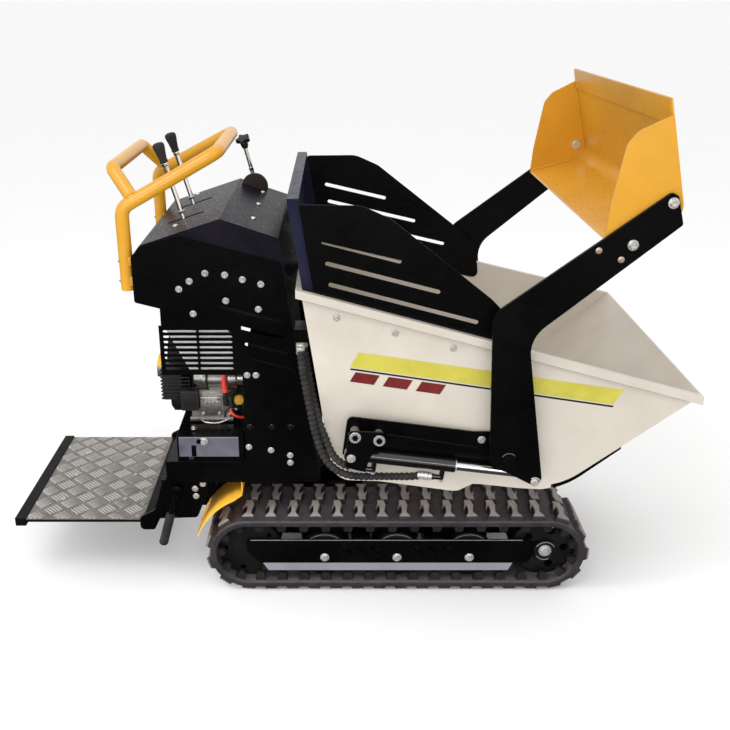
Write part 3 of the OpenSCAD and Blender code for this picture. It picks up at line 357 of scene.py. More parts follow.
def block(bm, low, high, round_off, slot=0):
    """A box between two corners with all its edges rounded."""
    low, high = Vector(low), Vector(high)
    made = bmesh.ops.create_cube(bm, size=1)
    place = Matrix.Translation((low + high) / 2) @ Matrix.Diagonal((*(high - low), 1))
    bmesh.ops.transform(bm, matrix=place, verts=made["verts"])
    edges = list({e for v in made["verts"] for e in v.link_edges})
    for face in {f for e in edges for f in e.link_faces}:
        face.material_index = slot
    bmesh.ops.bevel(bm, geom=edges, offset=round_off, segments=2, affect="EDGES", profile=0.6,
                    material=-1)


ARC_STEPS = 8


def rounded_path(points, radius):
    """The polyline with its inner corners turned into arcs."""
    points = [Vector(p) for p in points]
    path = [points[0]]
    for before, corner, after in zip(points, points[1:], points[2:]):
        u, v = (before - corner).normalized(), (after - corner).normalized()
        half = u.angle(v) / 2
        room = min((before - corner).length, (after - corner).length)
        reach = min(radius / tan(half), 0.48 * room)
        start, end = corner + u * reach, corner + v * reach
        for k in range(ARC_STEPS + 1):
            t = k / ARC_STEPS
            path.append(start * (1 - t) ** 2 + corner * 2 * t * (1 - t) + end * t * t)
    path.append(points[-1])
    return path


def smooth_path(points, steps):
    """A smooth curve through the points, the same number of steps in each stretch."""
    points = [Vector(p) for p in points]
    path = []
    last = len(points) - 1
    for i in range(last):
        a, b = points[max(i - 1, 0)], points[i]
        c, d = points[i + 1], points[min(i + 2, last)]
        for k in range(steps):
            u = k / steps
            path.append((b * 2 + (c - a) * u + (a * 2 - b * 5 + c * 4 - d) * u * u
                         + (b * 3 - a - c * 3 + d) * u ** 3) / 2)
    path.append(points[-1])
    return path


def sweep(bm, path, radius, sides, slot=0):
    """An untwisted tube along a path; radius is a number or one for each point."""
    radii = radius if isinstance(radius, list) else [radius] * len(path)
    forward = (path[1] - path[0]).normalized()
    across = forward.orthogonal().normalized()
    turns = [2 * pi * k / sides for k in range(sides)]
    rings = []
    for i, point in enumerate(path):
        ahead = path[min(i + 1, len(path) - 1)] - path[max(i - 1, 0)]
        ahead.normalize()
        across = (forward.rotation_difference(ahead) @ across).normalized()
        forward = ahead
        third = forward.cross(across)
        ring = [(across * cos(t) + third * sin(t)) * radii[i] for t in turns]
        rings.append([bm.verts.new(point + spoke) for spoke in ring])
    loft(bm, rings, slot)


def rim_line(bm, centre, radius, span, thick, slot=0, step=10):
    """A thin wire along an arc in an upright plane; the span is in degrees."""
    turns = [radians(a) for a in range(span[0], span[1] + 1, step)]
    path = [Vector(centre) + Vector((radius * cos(a), 0, radius * sin(a))) for a in turns]
    sweep(bm, path, thick, 8, slot)


def piece(name, bm, materials, body, stands_for=(), crease=38):
    """Turns a drawn mesh into a piece that rides on a CAD body; without a body it is left free."""
    bmesh.ops.recalc_face_normals(bm, faces=bm.faces)
    bmesh.ops.scale(bm, vec=(MM, MM, MM), verts=bm.verts)
    mesh = bpy.data.meshes.new(name)
    bm.to_mesh(mesh)
    bm.free()
    for material in materials:
        mesh.materials.append(material)
    mesh.shade_smooth()
    mesh.set_sharp_from_angle(angle=radians(crease))
    made = put(name, mesh)
    if body:
        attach(made, body)
    if stands_for:
        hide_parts(*stands_for)
    return made


def islands(node):
    """(low corner, high corner) of each separate solid in a CAD node, in millimetres."""
    bm = bmesh.new()
    bm.from_mesh(nodes[node].data)
    bmesh.ops.remove_doubles(bm, verts=bm.verts, dist=1e-6)
    found, seen = [], set()
    for seed in bm.verts:
        if seed in seen:
            continue
        group, front = {seed}, [seed]
        while front:
            for edge in front.pop().link_edges:
                for v in edge.verts:
                    if v not in group:
                        group.add(v)
                        front.append(v)
        seen |= group
        places = [v.co / MM for v in group]
        found.append((Vector(map(min, *places)), Vector(map(max, *places))))
    bm.free()
    return found


# Carried-over solids: enamel or metal, and edges with a rolled highlight

EDGE_W = 1.2 * MM
EDGE_CREASE = radians(30)
FLAT_WITHIN = radians(0.6)
WELD_WITHIN = 2e-5


def modify(solid, name, kind, **settings):
    made = solid.modifiers.new(name, kind)
    for key, value in settings.items():
        setattr(made, key, value)


def dress(node, made):
    """A CAD node's finish, with its facets joined and its edges rounded by modifiers."""
    solid = nodes[node]
    mesh = solid.data
    mesh.materials.clear()
    mesh.materials.append(made)
    if "custom_normal" in mesh.attributes:
        mesh.attributes.remove(mesh.attributes["custom_normal"])
    mesh.shade_smooth()
    modify(solid, "join_facets", "WELD", merge_threshold=WELD_WITHIN)
    modify(solid, "flat_faces", "DECIMATE", decimate_type="DISSOLVE", angle_limit=FLAT_WITHIN)
    modify(solid, "rolled_edges", "BEVEL", width=EDGE_W, segments=2, limit_method="ANGLE",
           angle_limit=EDGE_CREASE, use_clamp_overlap=True)
    modify(solid, "even_shading", "WEIGHTED_NORMAL", keep_sharp=True)


FINISHES = {
    black: ["side_panels", "console_cheeks", "guards", "engine_bed", "platform_brackets",
            "skip_underframe", "tip_barrel", "main_frame", "track_frame_", "side_board_", "lift_beam_",
            "arm_"],
    gloss_black: ["lift_barrel_"],
    matt_black: ["platform_rails"],
    worn_brown: ["throttle_quadrant"],
    navy_black: ["rear_board"],
    iron: ["fan_shroud", "fuel_tank", "hydraulic_tank", "travel_motors", "sprocket_", "idler_"],
    console_black: ["console_shell"],
    cream: ["skip_tub"],
    yellow: ["shovel"],
    # painted light: the fenders take the lighter copy of the yellow
    lit_fender_yellow: ["fenders"],
    cast: ["engine_block", "muffler", "gear_pump", "control_valve"],
    chrome: ["tip_rod", "lift_rod_"],
    tread: ["platform_deck"],
}


def dress_all():
    """Dresses the listed nodes; a name that ends in an underscore has a node on each side."""
    for made, names in FINISHES.items():
        for name in names:
            for side in SIDES if name.endswith("_") else [""]:
                dress(name + side, made)
    for side in SIDES:
        for i in (1, 2, 3):
            dress(f"roller_{side}_{i}", iron)


# Hoses

HOSE_R = 9.5
RIB = 2.5
RIB_ROOT = 0.6
RIB_STEP = 15
RIB_CUTS = 10
ROUTE_FRONT = [
    (278.607, 481.513, 511.11), (258.763, 481.513, 513.609), (222, 481, 510), (184, 478, 508),
    (146, 474, 506), (110, 470.5, 504), (76, 471, 504), (44, 474, 509), (14, 474, 520), (-11, 471, 537),
    (-31, 466, 561), (-47, 460, 594), (-59, 452, 632), (-69, 443, 674), (-78, 431, 718), (-87, 417, 762),
    (-95, 402, 803), (-101, 390, 839), (-103, 383, 864), (-104, 380, 885), (-104, 380, 905)]
ROUTE_REAR = [
    (76.205, 481.513, 536.597), (56.362, 481.513, 539.096), (35.5, 480, 544), (14, 477, 554),
    (-5, 471, 570), (-19, 462, 592), (-31, 451, 620), (-45, 437, 652), (-57, 421, 688), (-66, 404, 724),
    (-75, 387, 762), (-83, 371, 800), (-89, 359, 833), (-94, 351, 862), (-96, 348, 885), (-96, 348, 905)]


def path_length(path):
    return sum((b - a).length for a, b in zip(path, path[1:]))


def even_path(path, count):
    """The same line with points at even spacing."""
    whole = path_length(path)
    made, gone, i = [path[0].copy()], 0.0, 0
    for k in range(1, count):
        want = whole * k / count
        while gone + (path[i + 1] - path[i]).length < want:
            gone += (path[i + 1] - path[i]).length
            i += 1
        step = path[i + 1] - path[i]
        made.append(path[i] + step * ((want - gone) / step.length))
    made.append(path[-1].copy())
    return made


def make_hose(name, route, side):
    """A ribbed hose along its route from the cylinder's port to the tub, left free of both."""
    points = [Vector((x, SIDES[side] * y, z)) for x, y, z in route]
    line = smooth_path(points, 12)
    length = path_length(line)
    path = even_path(line, int(length / RIB_STEP) * RIB_CUTS)
    waves = [abs(sin(pi * i / RIB_CUTS)) ** 0.7 for i in range(len(path))]
    swell = [HOSE_R - RIB_ROOT + (RIB + RIB_ROOT) * wave for wave in waves]
    bm = bmesh.new()
    sweep(bm, path, swell, 18)
    hose = piece(name, bm, [hose_rubber], None, ["hoses_" + side], 60)
    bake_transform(hose)


def make_hoses():
    for side in SIDES:
        make_hose(f"hose_front_{side}", ROUTE_FRONT, side)
        make_hose(f"hose_rear_{side}", ROUTE_REAR, side)


# Values shared with the solids, in millimetres

YC = 230
PITCH = 72
LINKS = 37
PITCH_R = 10 * PITCH / (2 * pi)
BELT_T = 20
LUG_H = 18
LUG_JOG = 14
GUIDE_H = 26
GUIDE_BAND = (82, 104)
AXLE_Z = LUG_H + BELT_T / 2 + PITCH_R
WHEELBASE = (LINKS * PITCH - 2 * pi * PITCH_R) / 2
TRACK_X = 201
REAR_X = TRACK_X - WHEELBASE / 2
FRONT_X = TRACK_X + WHEELBASE / 2
LIFT_Y = 481.513
LIFT_ROOT = Vector((44, 0, 585))
LIFT_AXIS = (Vector((584, 0, 517)) - LIFT_ROOT).normalized()
LIFT_DOWN = Vector((LIFT_AXIS.z, 0, -LIFT_AXIS.x))
GLAND_AT = 309
PORTS = (72, 276)
PORT_DROP = 44
PORT_BACK = 34
ARM_IN = 503.013


def wall_hw(x):
    """Half width of the tub outside its side walls."""
    return 416 + (x + 100) * 68 / 1148


# Fasteners

HEX = sqrt(3) / 2
WASHER = 0.78
WIDE_WASHER = 0.95


def bolt(bm, seat, direction, across, height, washer=WASHER, metals=(0, 0)):
    """A chamfered hexagon head on a washer; metals are the slots of washer and head."""
    place = turned(direction, seat)
    rim, r = across * washer, across / sqrt(3)
    flat = min(2.2, height * 0.3)
    lathe(bm, [(rim - 0.7, 0), (rim, 0.6), (rim, flat - 0.5), (rim - 0.5, flat)], place, 24, metals[0])
    lathe(bm, [(r * 0.97, flat - 0.2), (r, flat + 0.5), (r, height - across * 0.12), (r * 0.84, height)],
          place, 6, metals[1])
    lathe(bm, [(r * 0.66, height - 0.4), (r * 0.62, height + 0.5), (r * 0.4, height + 0.2)],
          place, 12, metals[1])


def button(bm, seat, direction, radius, height, slot=0):
    """A low domed head with a socket ring."""
    place = turned(direction, seat)
    profile = ((1, 0), (1, 0.35), (0.8, 0.85), (0.5, 1), (0.45, 1), (0.4, 0.6))
    lathe(bm, [(radius * r, height * h) for r, h in profile], place, 20, slot)


def heads_of(node):
    """(seat, outward direction, width, height) of a CAD node's bolt heads; all point sideways."""
    for low, high in islands(node):
        side = 1 if low.y > 0 else -1
        seat = Vector(((low.x + high.x) / 2, low.y if side > 0 else high.y, (low.z + high.z) / 2))
        yield seat, (0, side, 0), high.x - low.x, high.y - low.y


DARK_ROW_Z = 591
WIDE_FROM = 21
HUB_FROM = 30
CLEVIS_FROM = 15
CLEVIS_CORNER = (140, 640)
RIVET_BELOW = 4
KEEPER_FROM = 22


def make_chassis_bolts():
    """Bolts on wide or plain washers; one row is black."""
    bm = bmesh.new()
    for seat, out, width, height in heads_of("chassis_bolts"):
        across = width * HEX
        dark = (1, 1) if abs(seat.z - DARK_ROW_Z) < 1 else (0, 0)
        bolt(bm, seat, out, across, height, WIDE_WASHER if across > WIDE_FROM else WASHER, dark)
    piece("chassis_bolt_set", bm, [zinc, gloss_black], "chassis", ["chassis_bolts"])


def make_skip_bolts():
    """Hub nuts in a black ring with a painted highlight arc on it, black clevis bolts on bright washers,
    and plain bolts.
    """
    bm = bmesh.new()
    for seat, out, width, height in heads_of("skip_bolts"):
        across = width * HEX
        by_clevis = seat.x < CLEVIS_CORNER[0] and seat.z > CLEVIS_CORNER[1]
        if across > HUB_FROM:
            bolt(bm, seat, out, across, height, 0.7, (1, 1))
            lathe(bm, [(across * 0.62, 0), (across * 0.66, 1), (across * 0.66, 4), (across * 0.6, 5)],
                  turned(out, seat), 32, 1)
            # painted highlight arc on the ring's edge
            rim_line(bm, seat + Vector(out) * 5, across * 0.65, (40, 150), 0.9, 2)
        elif by_clevis and across > CLEVIS_FROM:
            bolt(bm, seat, out, across, height, 1.0, (0, 1))
        else:
            bolt(bm, seat, out, across, height)
    piece("skip_bolt_set", bm, [zinc, black, painted_highlight_grey], "skip", ["skip_bolts"])


def make_loader_bolts():
    """Copper rivets, keeper bolts with a painted highlight arc beside them, and plain bolts."""
    bm = bmesh.new()
    for seat, out, width, height in heads_of("loader_bolts"):
        if height < RIVET_BELOW:
            button(bm, seat, out, width / 2, height, 1)
        elif width * HEX > KEEPER_FROM:
            bolt(bm, seat, out, 16, 10)
            # painted highlight: a bright arc on the edge of the boss
            rim_line(bm, seat + Vector(out) * 0.8, 16, (10, 130), 1.6)
        else:
            bolt(bm, seat, out, width * HEX, height)
    piece("loader_bolt_set", bm, [zinc, copper], "loader", ["loader_bolts"])


# Tracks

LUG = [
    (-12, 3), (12, 3), (18, 35), (14, 60), (12, 80), (23, 104), (-17, 104), (-7, 80), (-5, 60), (-7, 42),
    (-14, 57), (-19, 54), (-13, 30)]
LUG_RISE = [(-4, -3), (13, 1), (16.5, 2), (18, 4)]
CARCASS = [
    (-115, -6), (-115, 6), (-112, 10), (-107, 10), (-101, 7.5), (101, 7.5), (107, 10), (112, 10),
    (115, 6), (115, -6), (112, -10), (-112, -10)]


def on_track(s, out):
    """(x, z) at a distance along the pitch line and a height above it."""
    arc = pi * PITCH_R
    s %= LINKS * PITCH
    front = s < WHEELBASE + arc
    s = s if front else s - WHEELBASE - arc
    turn = max(s - WHEELBASE, 0) / PITCH_R
    run, r = min(s, WHEELBASE), PITCH_R + out
    x, z = REAR_X + run + r * sin(turn), r * cos(turn)
    return (x, AXLE_Z + z) if front else (REAR_X + FRONT_X - x, AXLE_Z - z)


def inset(outline, amount):
    """The outline with each corner moved inwards; it runs anticlockwise."""
    made = []
    for i, (x, y) in enumerate(outline):
        before, after = outline[i - 1], outline[(i + 1) % len(outline)]
        a = Vector((y - before[1], before[0] - x)).normalized()
        b = Vector((after[1] - y, x - after[0])).normalized()
        move = (a + b).normalized() * amount / max(0.5, sqrt((1 + a.dot(b)) / 2))
        made.append((x - move.x, y - move.y))
    return made


def track_ring(bm, side, s, points):
    """Vertices at (along, across, out) points about a place on the track; across grows outwards."""
    ring = []
    for u, v, w in points:
        x, z = on_track(s + u, w)
        ring.append(bm.verts.new((x, SIDES[side] * (YC + v), z)))
    return ring


def stack(bm, rings, slots):
    """Joins rings into a solid that is open at its foot; the last slot is the cap's."""
    for first, second, slot in zip(rings, rings[1:], slots):
        faces_between(bm, first, second, slot)
    bm.faces.new(rings[-1]).material_index = slots[-1]


LINK_CUTS = 6
GUIDE_DROP = ((-2, 18, 0), (20, 12.5, 1.5), (24, 11.5, 2.2), (GUIDE_H, 9, 4))


def make_belt(side):
    """The carcass, two tread lugs to a link and two guide lugs between links."""
    bm = bmesh.new()
    section = [(0, v, w) for v, w in CARCASS]
    rings = [track_ring(bm, side, k * PITCH / LINK_CUTS, section) for k in range(LINKS * LINK_CUTS)]
    for first, second in zip(rings, rings[1:] + rings[:1]):
        faces_between(bm, first, second)
    for link in range(LINKS):
        for half, jog in ((1, 0), (-1, LUG_JOG)):
            levels = []
            for rise, draw in LUG_RISE:
                shape = [(half * u, half * v, BELT_T / 2 + rise) for u, v in inset(LUG, draw)]
                levels.append(track_ring(bm, side, link * PITCH + jog, shape))
            stack(bm, levels, (0, 1, 1, 1))
        for half in (1, -1):
            levels = []
            for drop, long, thin in GUIDE_DROP:
                near, far = GUIDE_BAND[0] + thin, GUIDE_BAND[1] - thin
                shape = [(u, half * v, -BELT_T / 2 - drop)
                         for u, v in ((-long, near), (long, near), (long, far), (-long, far))]
                levels.append(track_ring(bm, side, (link + 0.5) * PITCH, shape))
            stack(bm, levels, (2, 2, 2, 2))
    piece("rubber_track_" + side, bm, [belt_rubber, lug_rubber, guide_rubber], "chassis",
          ["track_belt_" + side], 30)


# Handlebar and controls

POST_FOOT = (-613, 288, 1030)
POST_TOP = (-613, 288, 1272)
RAIL_END = (-342, 212, 1418)
LOOP_ROOT = tuple(a + (b - a) * 0.13 for a, b in zip(POST_TOP, RAIL_END))
LOOP_END = (-645, 220, 1374)
TUBE_R = 20
CLAMP_Z = (1046, 1106)


def across(*points):
    """One line from side to side through the points and their mirror images."""
    return [Vector((x, -y, z)) for x, y, z in points] + [Vector(p) for p in points[::-1]]


def make_handlebar():
    """The bent rail, the loop welded to it, and two clamps on each post."""
    bm = bmesh.new()
    sweep(bm, rounded_path(across(POST_FOOT, POST_TOP, RAIL_END), 42), TUBE_R, 28)
    sweep(bm, rounded_path(across(LOOP_ROOT, LOOP_END), 30), TUBE_R - 0.4, 28)
    for side in SIDES.values():
        root = Vector((LOOP_ROOT[0], side * LOOP_ROOT[1], LOOP_ROOT[2]))
        rise = Vector((LOOP_END[0], side * LOOP_END[1], LOOP_END[2])) - root
        lathe(bm, [(TUBE_R + 1, 12), (TUBE_R + 3, 14), (TUBE_R + 3, 17), (TUBE_R - 0.6, 21)],
              turned(rise, root), 28)
        x, y = POST_FOOT[0], side * POST_FOOT[1]
        for z in CLAMP_Z:
            block(bm, (x, y - 17, z), (x + 22, y + 17, z + 26), 2.5)
            bolt(bm, (x - TUBE_R + 1, y, z + 13), (-1, 0, 0), 10, 5, 0.8, (1, 1))
    piece("grab_rail", bm, [yellow, zinc], "chassis", ["handlebar"])


LEVER_AT = (-435, 106, 1090)
LEVER_LEAN = radians(16)
LEVER_L = 352
GRIP = [
    (8, -2), (12, -1), (12.6, 3), (11.4, 7), (12, 12), (14.5, 28), (17.6, 43), (18.2, 49), (17, 55),
    (12, 58.8), (5, 60)]


def make_drive_lever(side):
    bm = bmesh.new()
    at = Vector((LEVER_AT[0], SIDES[side] * LEVER_AT[1], LEVER_AT[2]))
    up = turned((-sin(LEVER_LEAN), 0, cos(LEVER_LEAN)), at)
    lathe(bm, [(11, -8), (12, -7), (12, 7), (11, 8)], turned((0, 1, 0), at), 28)
    lathe(bm, [(8, 10), (8, 84), (7.6, 86), (7.6, LEVER_L - 58)], up, 24)
    lathe(bm, [(10.5, 132), (11.5, 133), (11.5, 140), (10.5, 141)], up, 6)
    nut = LEVER_L - 72
    lathe(bm, [(9.8, nut), (10.6, nut + 1), (10.6, nut + 8), (9.8, nut + 10)], up, 6)
    lathe(bm, [(r, LEVER_L - 60 + h) for r, h in GRIP], up, 32, 1)
    piece("travel_lever_" + side, bm, [chrome, grip_rubber], "drive_lever_" + side,
          ["drive_lever_" + side])


THROTTLE_AT = (-276, 255, 1242)
THROTTLE_LEAN = radians(14.3)


def star(points, tip, root):
    """A star's outline with blunt tips."""
    made = []
    for k in range(points):
        turn = 2 * pi * k / points
        for r, step in ((tip, -0.16), (tip, 0.16), (root, pi / points)):
            made.append((r * cos(turn + step), r * sin(turn + step)))
    return made


def make_throttle():
    bm = bmesh.new()
    x, y, z = THROTTLE_AT
    up = turned((-sin(THROTTLE_LEAN), 0, cos(THROTTLE_LEAN)), (x, y + 2.75, z))
    lathe(bm, [(13, -4.4), (14, -3.4), (14, 4), (13, 5)], turned((0, 1, 0), THROTTLE_AT), 32, 1)
    lathe(bm, [(4, 12), (4, 34)], Matrix.Translation((0, -2.5, 0)) @ up, 20)
    lathe(bm, [(6, 30), (7, 31), (7, 128)], up, 24)
    lathe(bm, [(8, 42), (9, 43), (9, 52), (8, 53)], up, 6)
    lathe(bm, [(8, 118), (12.5, 128), (13.5, 146)], up, 24, 1)
    tilted = turned((-sin(THROTTLE_LEAN), -0.5, cos(THROTTLE_LEAN)), up @ Vector((0, 0, 143)))
    prism(bm, star(5, 25, 12.5), 13, tilted, 2.5, 1)
    lathe(bm, [(9, 12), (8, 13.8), (3, 14.4)], tilted, 24, 1)
    piece("throttle_star_lever", bm, [chrome, moulded], "throttle_lever",
          ["throttle_lever"])


RIDGE_X = -332
RIDGE_Z = 1246
REAR_TOP = ((-0.316, 0, 0.949), 0.333, ((-480, -189), (-478, 275)))
FRONT_TOP = ((0.321, 0, 0.947), -0.339, ((-247, -179), (-247, 19), (-247, 209)))


def make_console_screws():
    """Screws on the console's two slopes, beside the lever slots and below the throttle."""
    bm = bmesh.new()
    for up, slope, screws in (REAR_TOP, FRONT_TOP):
        for x, y in screws:
            button(bm, (x, y, RIDGE_Z + (x - RIDGE_X) * slope - 0.3), up, 8, 5)
    piece("console_screws", bm, [zinc], "chassis")


FOOT_AT = (-507, -324.5, 374)
FOOT_LEAN = radians(16)


def make_foot_lever():
    bm = bmesh.new()
    at = Vector(FOOT_AT)
    down = turned((-sin(FOOT_LEAN), 0, -cos(FOOT_LEAN)), at)
    lathe(bm, [(13, -9.8), (15, -8.5), (15, 14.8), (13, 16)], turned((0, 1, 0), at), 32)
    lathe(bm, [(7, 12), (7, 96)], down, 20)
    ribs = [(14 + 0.9 * (k % 2), 92 + 5 * k) for k in range(1, 22)]
    lathe(bm, [(8, 89), (14, 92)] + ribs + [(15, 202), (12, 208), (7, 211.5)], down, 28, 1)
    piece("foot_lever_grip", bm, [black, grip_rubber], "foot_lever", ["foot_lever"])


# Platform tread

DECK = ((-1012, -632), (-296, 296))
DECK_TOP = 250
CELL = (89, 82)
BAR_L = 23
BAR_STEP = 10
BAR_LEAST = 8


def tread_bar_mesh(bm, x, y, slant):
    """One raised bar, cut where it would pass the edge of the sheet."""
    d = Vector((1, slant)).normalized()
    reach = [-BAR_L, BAR_L]
    for place, step, (low, high) in ((x, d.x, DECK[0]), (y, d.y, DECK[1])):
        ends = sorted(((low - place) / step, (high - place) / step))
        reach = [max(reach[0], ends[0]), min(reach[1], ends[1])]
    if reach[1] - reach[0] < BAR_LEAST:
        return
    rings = []
    for wide, trim, z in ((2.9, 0, -0.3), (2.4, 1, 1.0), (1.1, 3, 1.9)):
        a, b = reach[0] + trim, reach[1] - trim
        shape = [(a, 0), (a + 3, -wide), (b - 3, -wide), (b, 0), (b - 3, wide), (a + 3, wide)]
        rings.append([bm.verts.new((x + d.x * t - d.y * w, y + d.y * t + d.x * w, DECK_TOP + z))
                      for t, w in shape])
    stack(bm, rings, (0, 0, 0))


def make_tread():
    """Groups of five bars, crosswise to the groups next to them, and the sheet's screws."""
    bm = bmesh.new()
    (x0, x1), (y0, y1) = DECK
    for i in range(-1, 6):
        for j in range(-1, 9):
            for shift, slant in ((0, 1), (0.5, -1)):
                x = x0 + (i + shift + 0.3) * CELL[0]
                y = y0 + (j + shift + 0.2) * CELL[1]
                for k in (-2, -1, 0, 1, 2):
                    offset = k * BAR_STEP / sqrt(2)
                    cx, cy = x - slant * offset, y + offset
                    if x0 < cx < x1 and y0 < cy < y1:
                        tread_bar_mesh(bm, cx, cy, slant)
    for x in (-925, -715):
        for y in (-170, 0, 170):
            button(bm, (x, y, DECK_TOP - 0.3), (0, 0, 1), 8, 3.2)
    piece("tread_bars", bm, [tread_bar], "platform")


# Lift cylinders

FERRULE = [
    (7, -3), (11, -2), (13, 0), (13, 7), (12.2, 8), (12.2, 10), (12.9, 11), (12.9, 18), (12.2, 19),
    (12.2, 21), (12.9, 22), (12.9, 29), (12.2, 30), (12.7, 38), (12.1, 41)]
CLEVIS_PINS = ((55, 653), (125, 643))
BEAM_EDGE = ((151, 638), (285, 617), (418, 596))
BEAM_IN = 460.2


def make_lift_fittings(side):
    """Crimped ferrules, banjo bolts and a wiper ring on a lift cylinder."""
    bm = bmesh.new()
    root = Vector((LIFT_ROOT.x, SIDES[side] * LIFT_Y, LIFT_ROOT.z))
    for s in PORTS:
        port = root + LIFT_AXIS * s + LIFT_DOWN * PORT_DROP
        lathe(bm, FERRULE, turned(-LIFT_AXIS, port - LIFT_AXIS * (PORT_BACK - 3)), 24)
        bolt(bm, port + LIFT_DOWN * 6.5, LIFT_DOWN, 13, 7, 0.62)
    lathe(bm, [(18, -1), (18.4, 0.6), (18.4, 3.4), (15, 5), (14.3, 5)],
          turned(LIFT_AXIS, root + LIFT_AXIS * GLAND_AT), 32)
    piece("lift_fittings_" + side, bm, [zinc], "lift_barrel_" + side)


def make_skip_fittings(side):
    """Ferrules behind the tub, the spacer tubes of the clevis and the beam's edge."""
    bm = bmesh.new()
    out = SIDES[side]
    for x, y, z in (ROUTE_FRONT[-1], ROUTE_REAR[-1]):
        lathe(bm, FERRULE, turned((0, 0, -1), (x, out * y, z - 2)), 24)
    for x, z in CLEVIS_PINS:
        lathe(bm, [(12.4, 0.3), (13, 0.8), (13, 42), (12.4, 42.5)],
              turned((0, out, 0), (x, out * BEAM_IN, z)), 28, 1)
    sweep(bm, [Vector((x, out * (BEAM_IN + 0.2), z)) for x, z in BEAM_EDGE], 1.6, 8, 2)
    piece("skip_fittings_" + side, bm, [zinc, bare_steel, black], "skip")


# Engine bay

STARTER = [
    (12, -449), (19, -446), (23, -436), (25, -424), (29, -420), (31, -416), (31, -340), (31.6, -339),
    (31.6, -334), (31, -333), (31, -316), (28, -311), (22, -310), (22, -287), (12, -286), (12, -275)]


def make_starter():
    """Starter with its nose, clamp bands, end cap and a sleeved lead."""
    bm = bmesh.new()
    y, z = -216, 716
    along = turned((1, 0, 0), (0, y, z))
    lathe(bm, STARTER, along, 40)
    lathe(bm, [(31, -409), (32.6, -408), (32.6, -402), (31, -401)], along, 40, 1)
    lathe(bm, [(10, -400), (13, -398), (13, -332), (10, -330)], turned((1, 0, 0), (0, y, z + 42)), 28)
    block(bm, (-402, -228, 682), (-350, -204, z - 14), 3)
    for dy in (-1, 1):
        bolt(bm, (-310.4, y + dy * 25, z), (1, 0, 0), 8, 4)
    path = smooth_path([(-352, -216, z + 50), (-351, -238, z + 46), (-350, -252, z + 24),
                        (-348, -257, z - 8), (-346, -257, z - 30)], 8)
    count = len(path)
    sweep(bm, path, [6.2 + 2.6 * i / count + 0.3 * sin(i * 1.4) for i in range(count)], 18, 2)
    boot = [(-347, -257, z - 24), (-346, -257, z - 40), (-345, -255, z - 60), (-344, -252, z - 74)]
    sweep(bm, smooth_path(boot, 6), 7.5, 16, 1)
    lathe(bm, [(7, -252), (10, -251), (10, -238), (8, -236)], turned((0, 1, 0), (-344, 0, 642)), 24, 1)
    piece("electric_starter", bm, [starter_metal, moulded, red_sleeve], "chassis",
          ["starter_motor"])


ENGINE_LINES = (
    (3.5, 14, 0, ((-426, -246, 584), (-410, -262, 582), (-372, -260, 580), (-340, -246, 588))),
    (3.2, 12, 1, ((-336, -240, 676), (-330, -262, 668), (-334, -266, 640), (-348, -262, 616),
                  (-352, -250, 596))),
    (4.5, 14, 3, ((-334, -258, 628), (-326, -264, 614), (-310, -262, 602), (-288, -250, 594))),
)


def make_engine_trim():
    """Valve cover, bolts, caps, pipes and a moulded box on the near side, and castings behind."""
    bm = bmesh.new()
    block(bm, (-428, -256, 600), (-360, -237, 668), 6)
    for x in (-420, -368):
        for z in (608, 660):
            bolt(bm, (x, -255.6, z), (0, -1, 0), 9, 6)
    for z in (594, 674):
        bolt(bm, (-340, -236.2, z), (0, -1, 0), 10, 6)
    for k in range(4):
        block(bm, (-412 + k * 12, -259, 616), (-408 + k * 12, -255, 652), 1)
    lathe(bm, [(13, 0), (13, 6), (11, 8), (11, 20), (14, 22), (14, 30), (12, 33)],
          turned((0.2, -0.5, 1), (-322, -190, 600)), 24)
    lathe(bm, [(16, 0), (17, 2), (17, 14), (14, 18), (6, 19)],
          turned((0.3, -1, 0.4), (-312, -206, 636)), 24, 2)
    for radius, sides, slot, points in ENGINE_LINES:
        sweep(bm, smooth_path(points, 8), radius, sides, slot)
    block(bm, (-488, -264, 621), (-430, -237, 691), 8, 1)
    block(bm, (-478, -266, 640), (-440, -263, 680), 1.4, 1)
    bolt(bm, (-451, -262, 559.8), (0, 0, 1), 13, 9)
    block(bm, (-566, -206, 714), (-549, -168, 751), 5)
    prism(bm, [(-567, 750), (-545, 750), (-546, 780), (-553, 788), (-559, 784)], 30, upright(-202), 3, 2)
    block(bm, (-470, -212, 560), (-330, -150, 578), 5)
    piece("engine_trim", bm, [starter_metal, moulded, amber, red_sleeve], "chassis")


LIT_SHEET = ((-521, -291), (774, 918))
LIT_SHEET_Y = (303, 301.5)
LIT_SHEET_CUTS = 48
FLUTE = 1.6
REAR_SLANT = (-503, 898, 0.49)
FRONT_SLANT = (-289, 859, 0.72)


def make_backdrop_light(side):
    """A fluted bright sheet with slanted ends behind the slots of a guard: painted light, standing in
    for the bright backdrop seen through the slots.
    """
    bm = bmesh.new()
    (x0, x1), (z0, z1) = LIT_SHEET
    face, back = LIT_SHEET_Y
    rings = []
    for k in range(LIT_SHEET_CUTS + 1):
        z = z0 + (z1 - z0) * k / LIT_SHEET_CUTS
        wave = FLUTE * sin(pi * k / 3) ** 2
        ends = [x + (at - z) * run for x, at, run in (REAR_SLANT, FRONT_SLANT)]
        left, right = max(x0, ends[0]), min(x1, ends[1])
        rings.append([bm.verts.new((x, SIDES[side] * (y + wave), z))
                      for x, y in ((left, face), (right, face), (right, back), (left, back))])
    loft(bm, rings)
    piece("slot_light_" + side, bm, [backdrop_light_sheet], "chassis")


BED_HW = 306


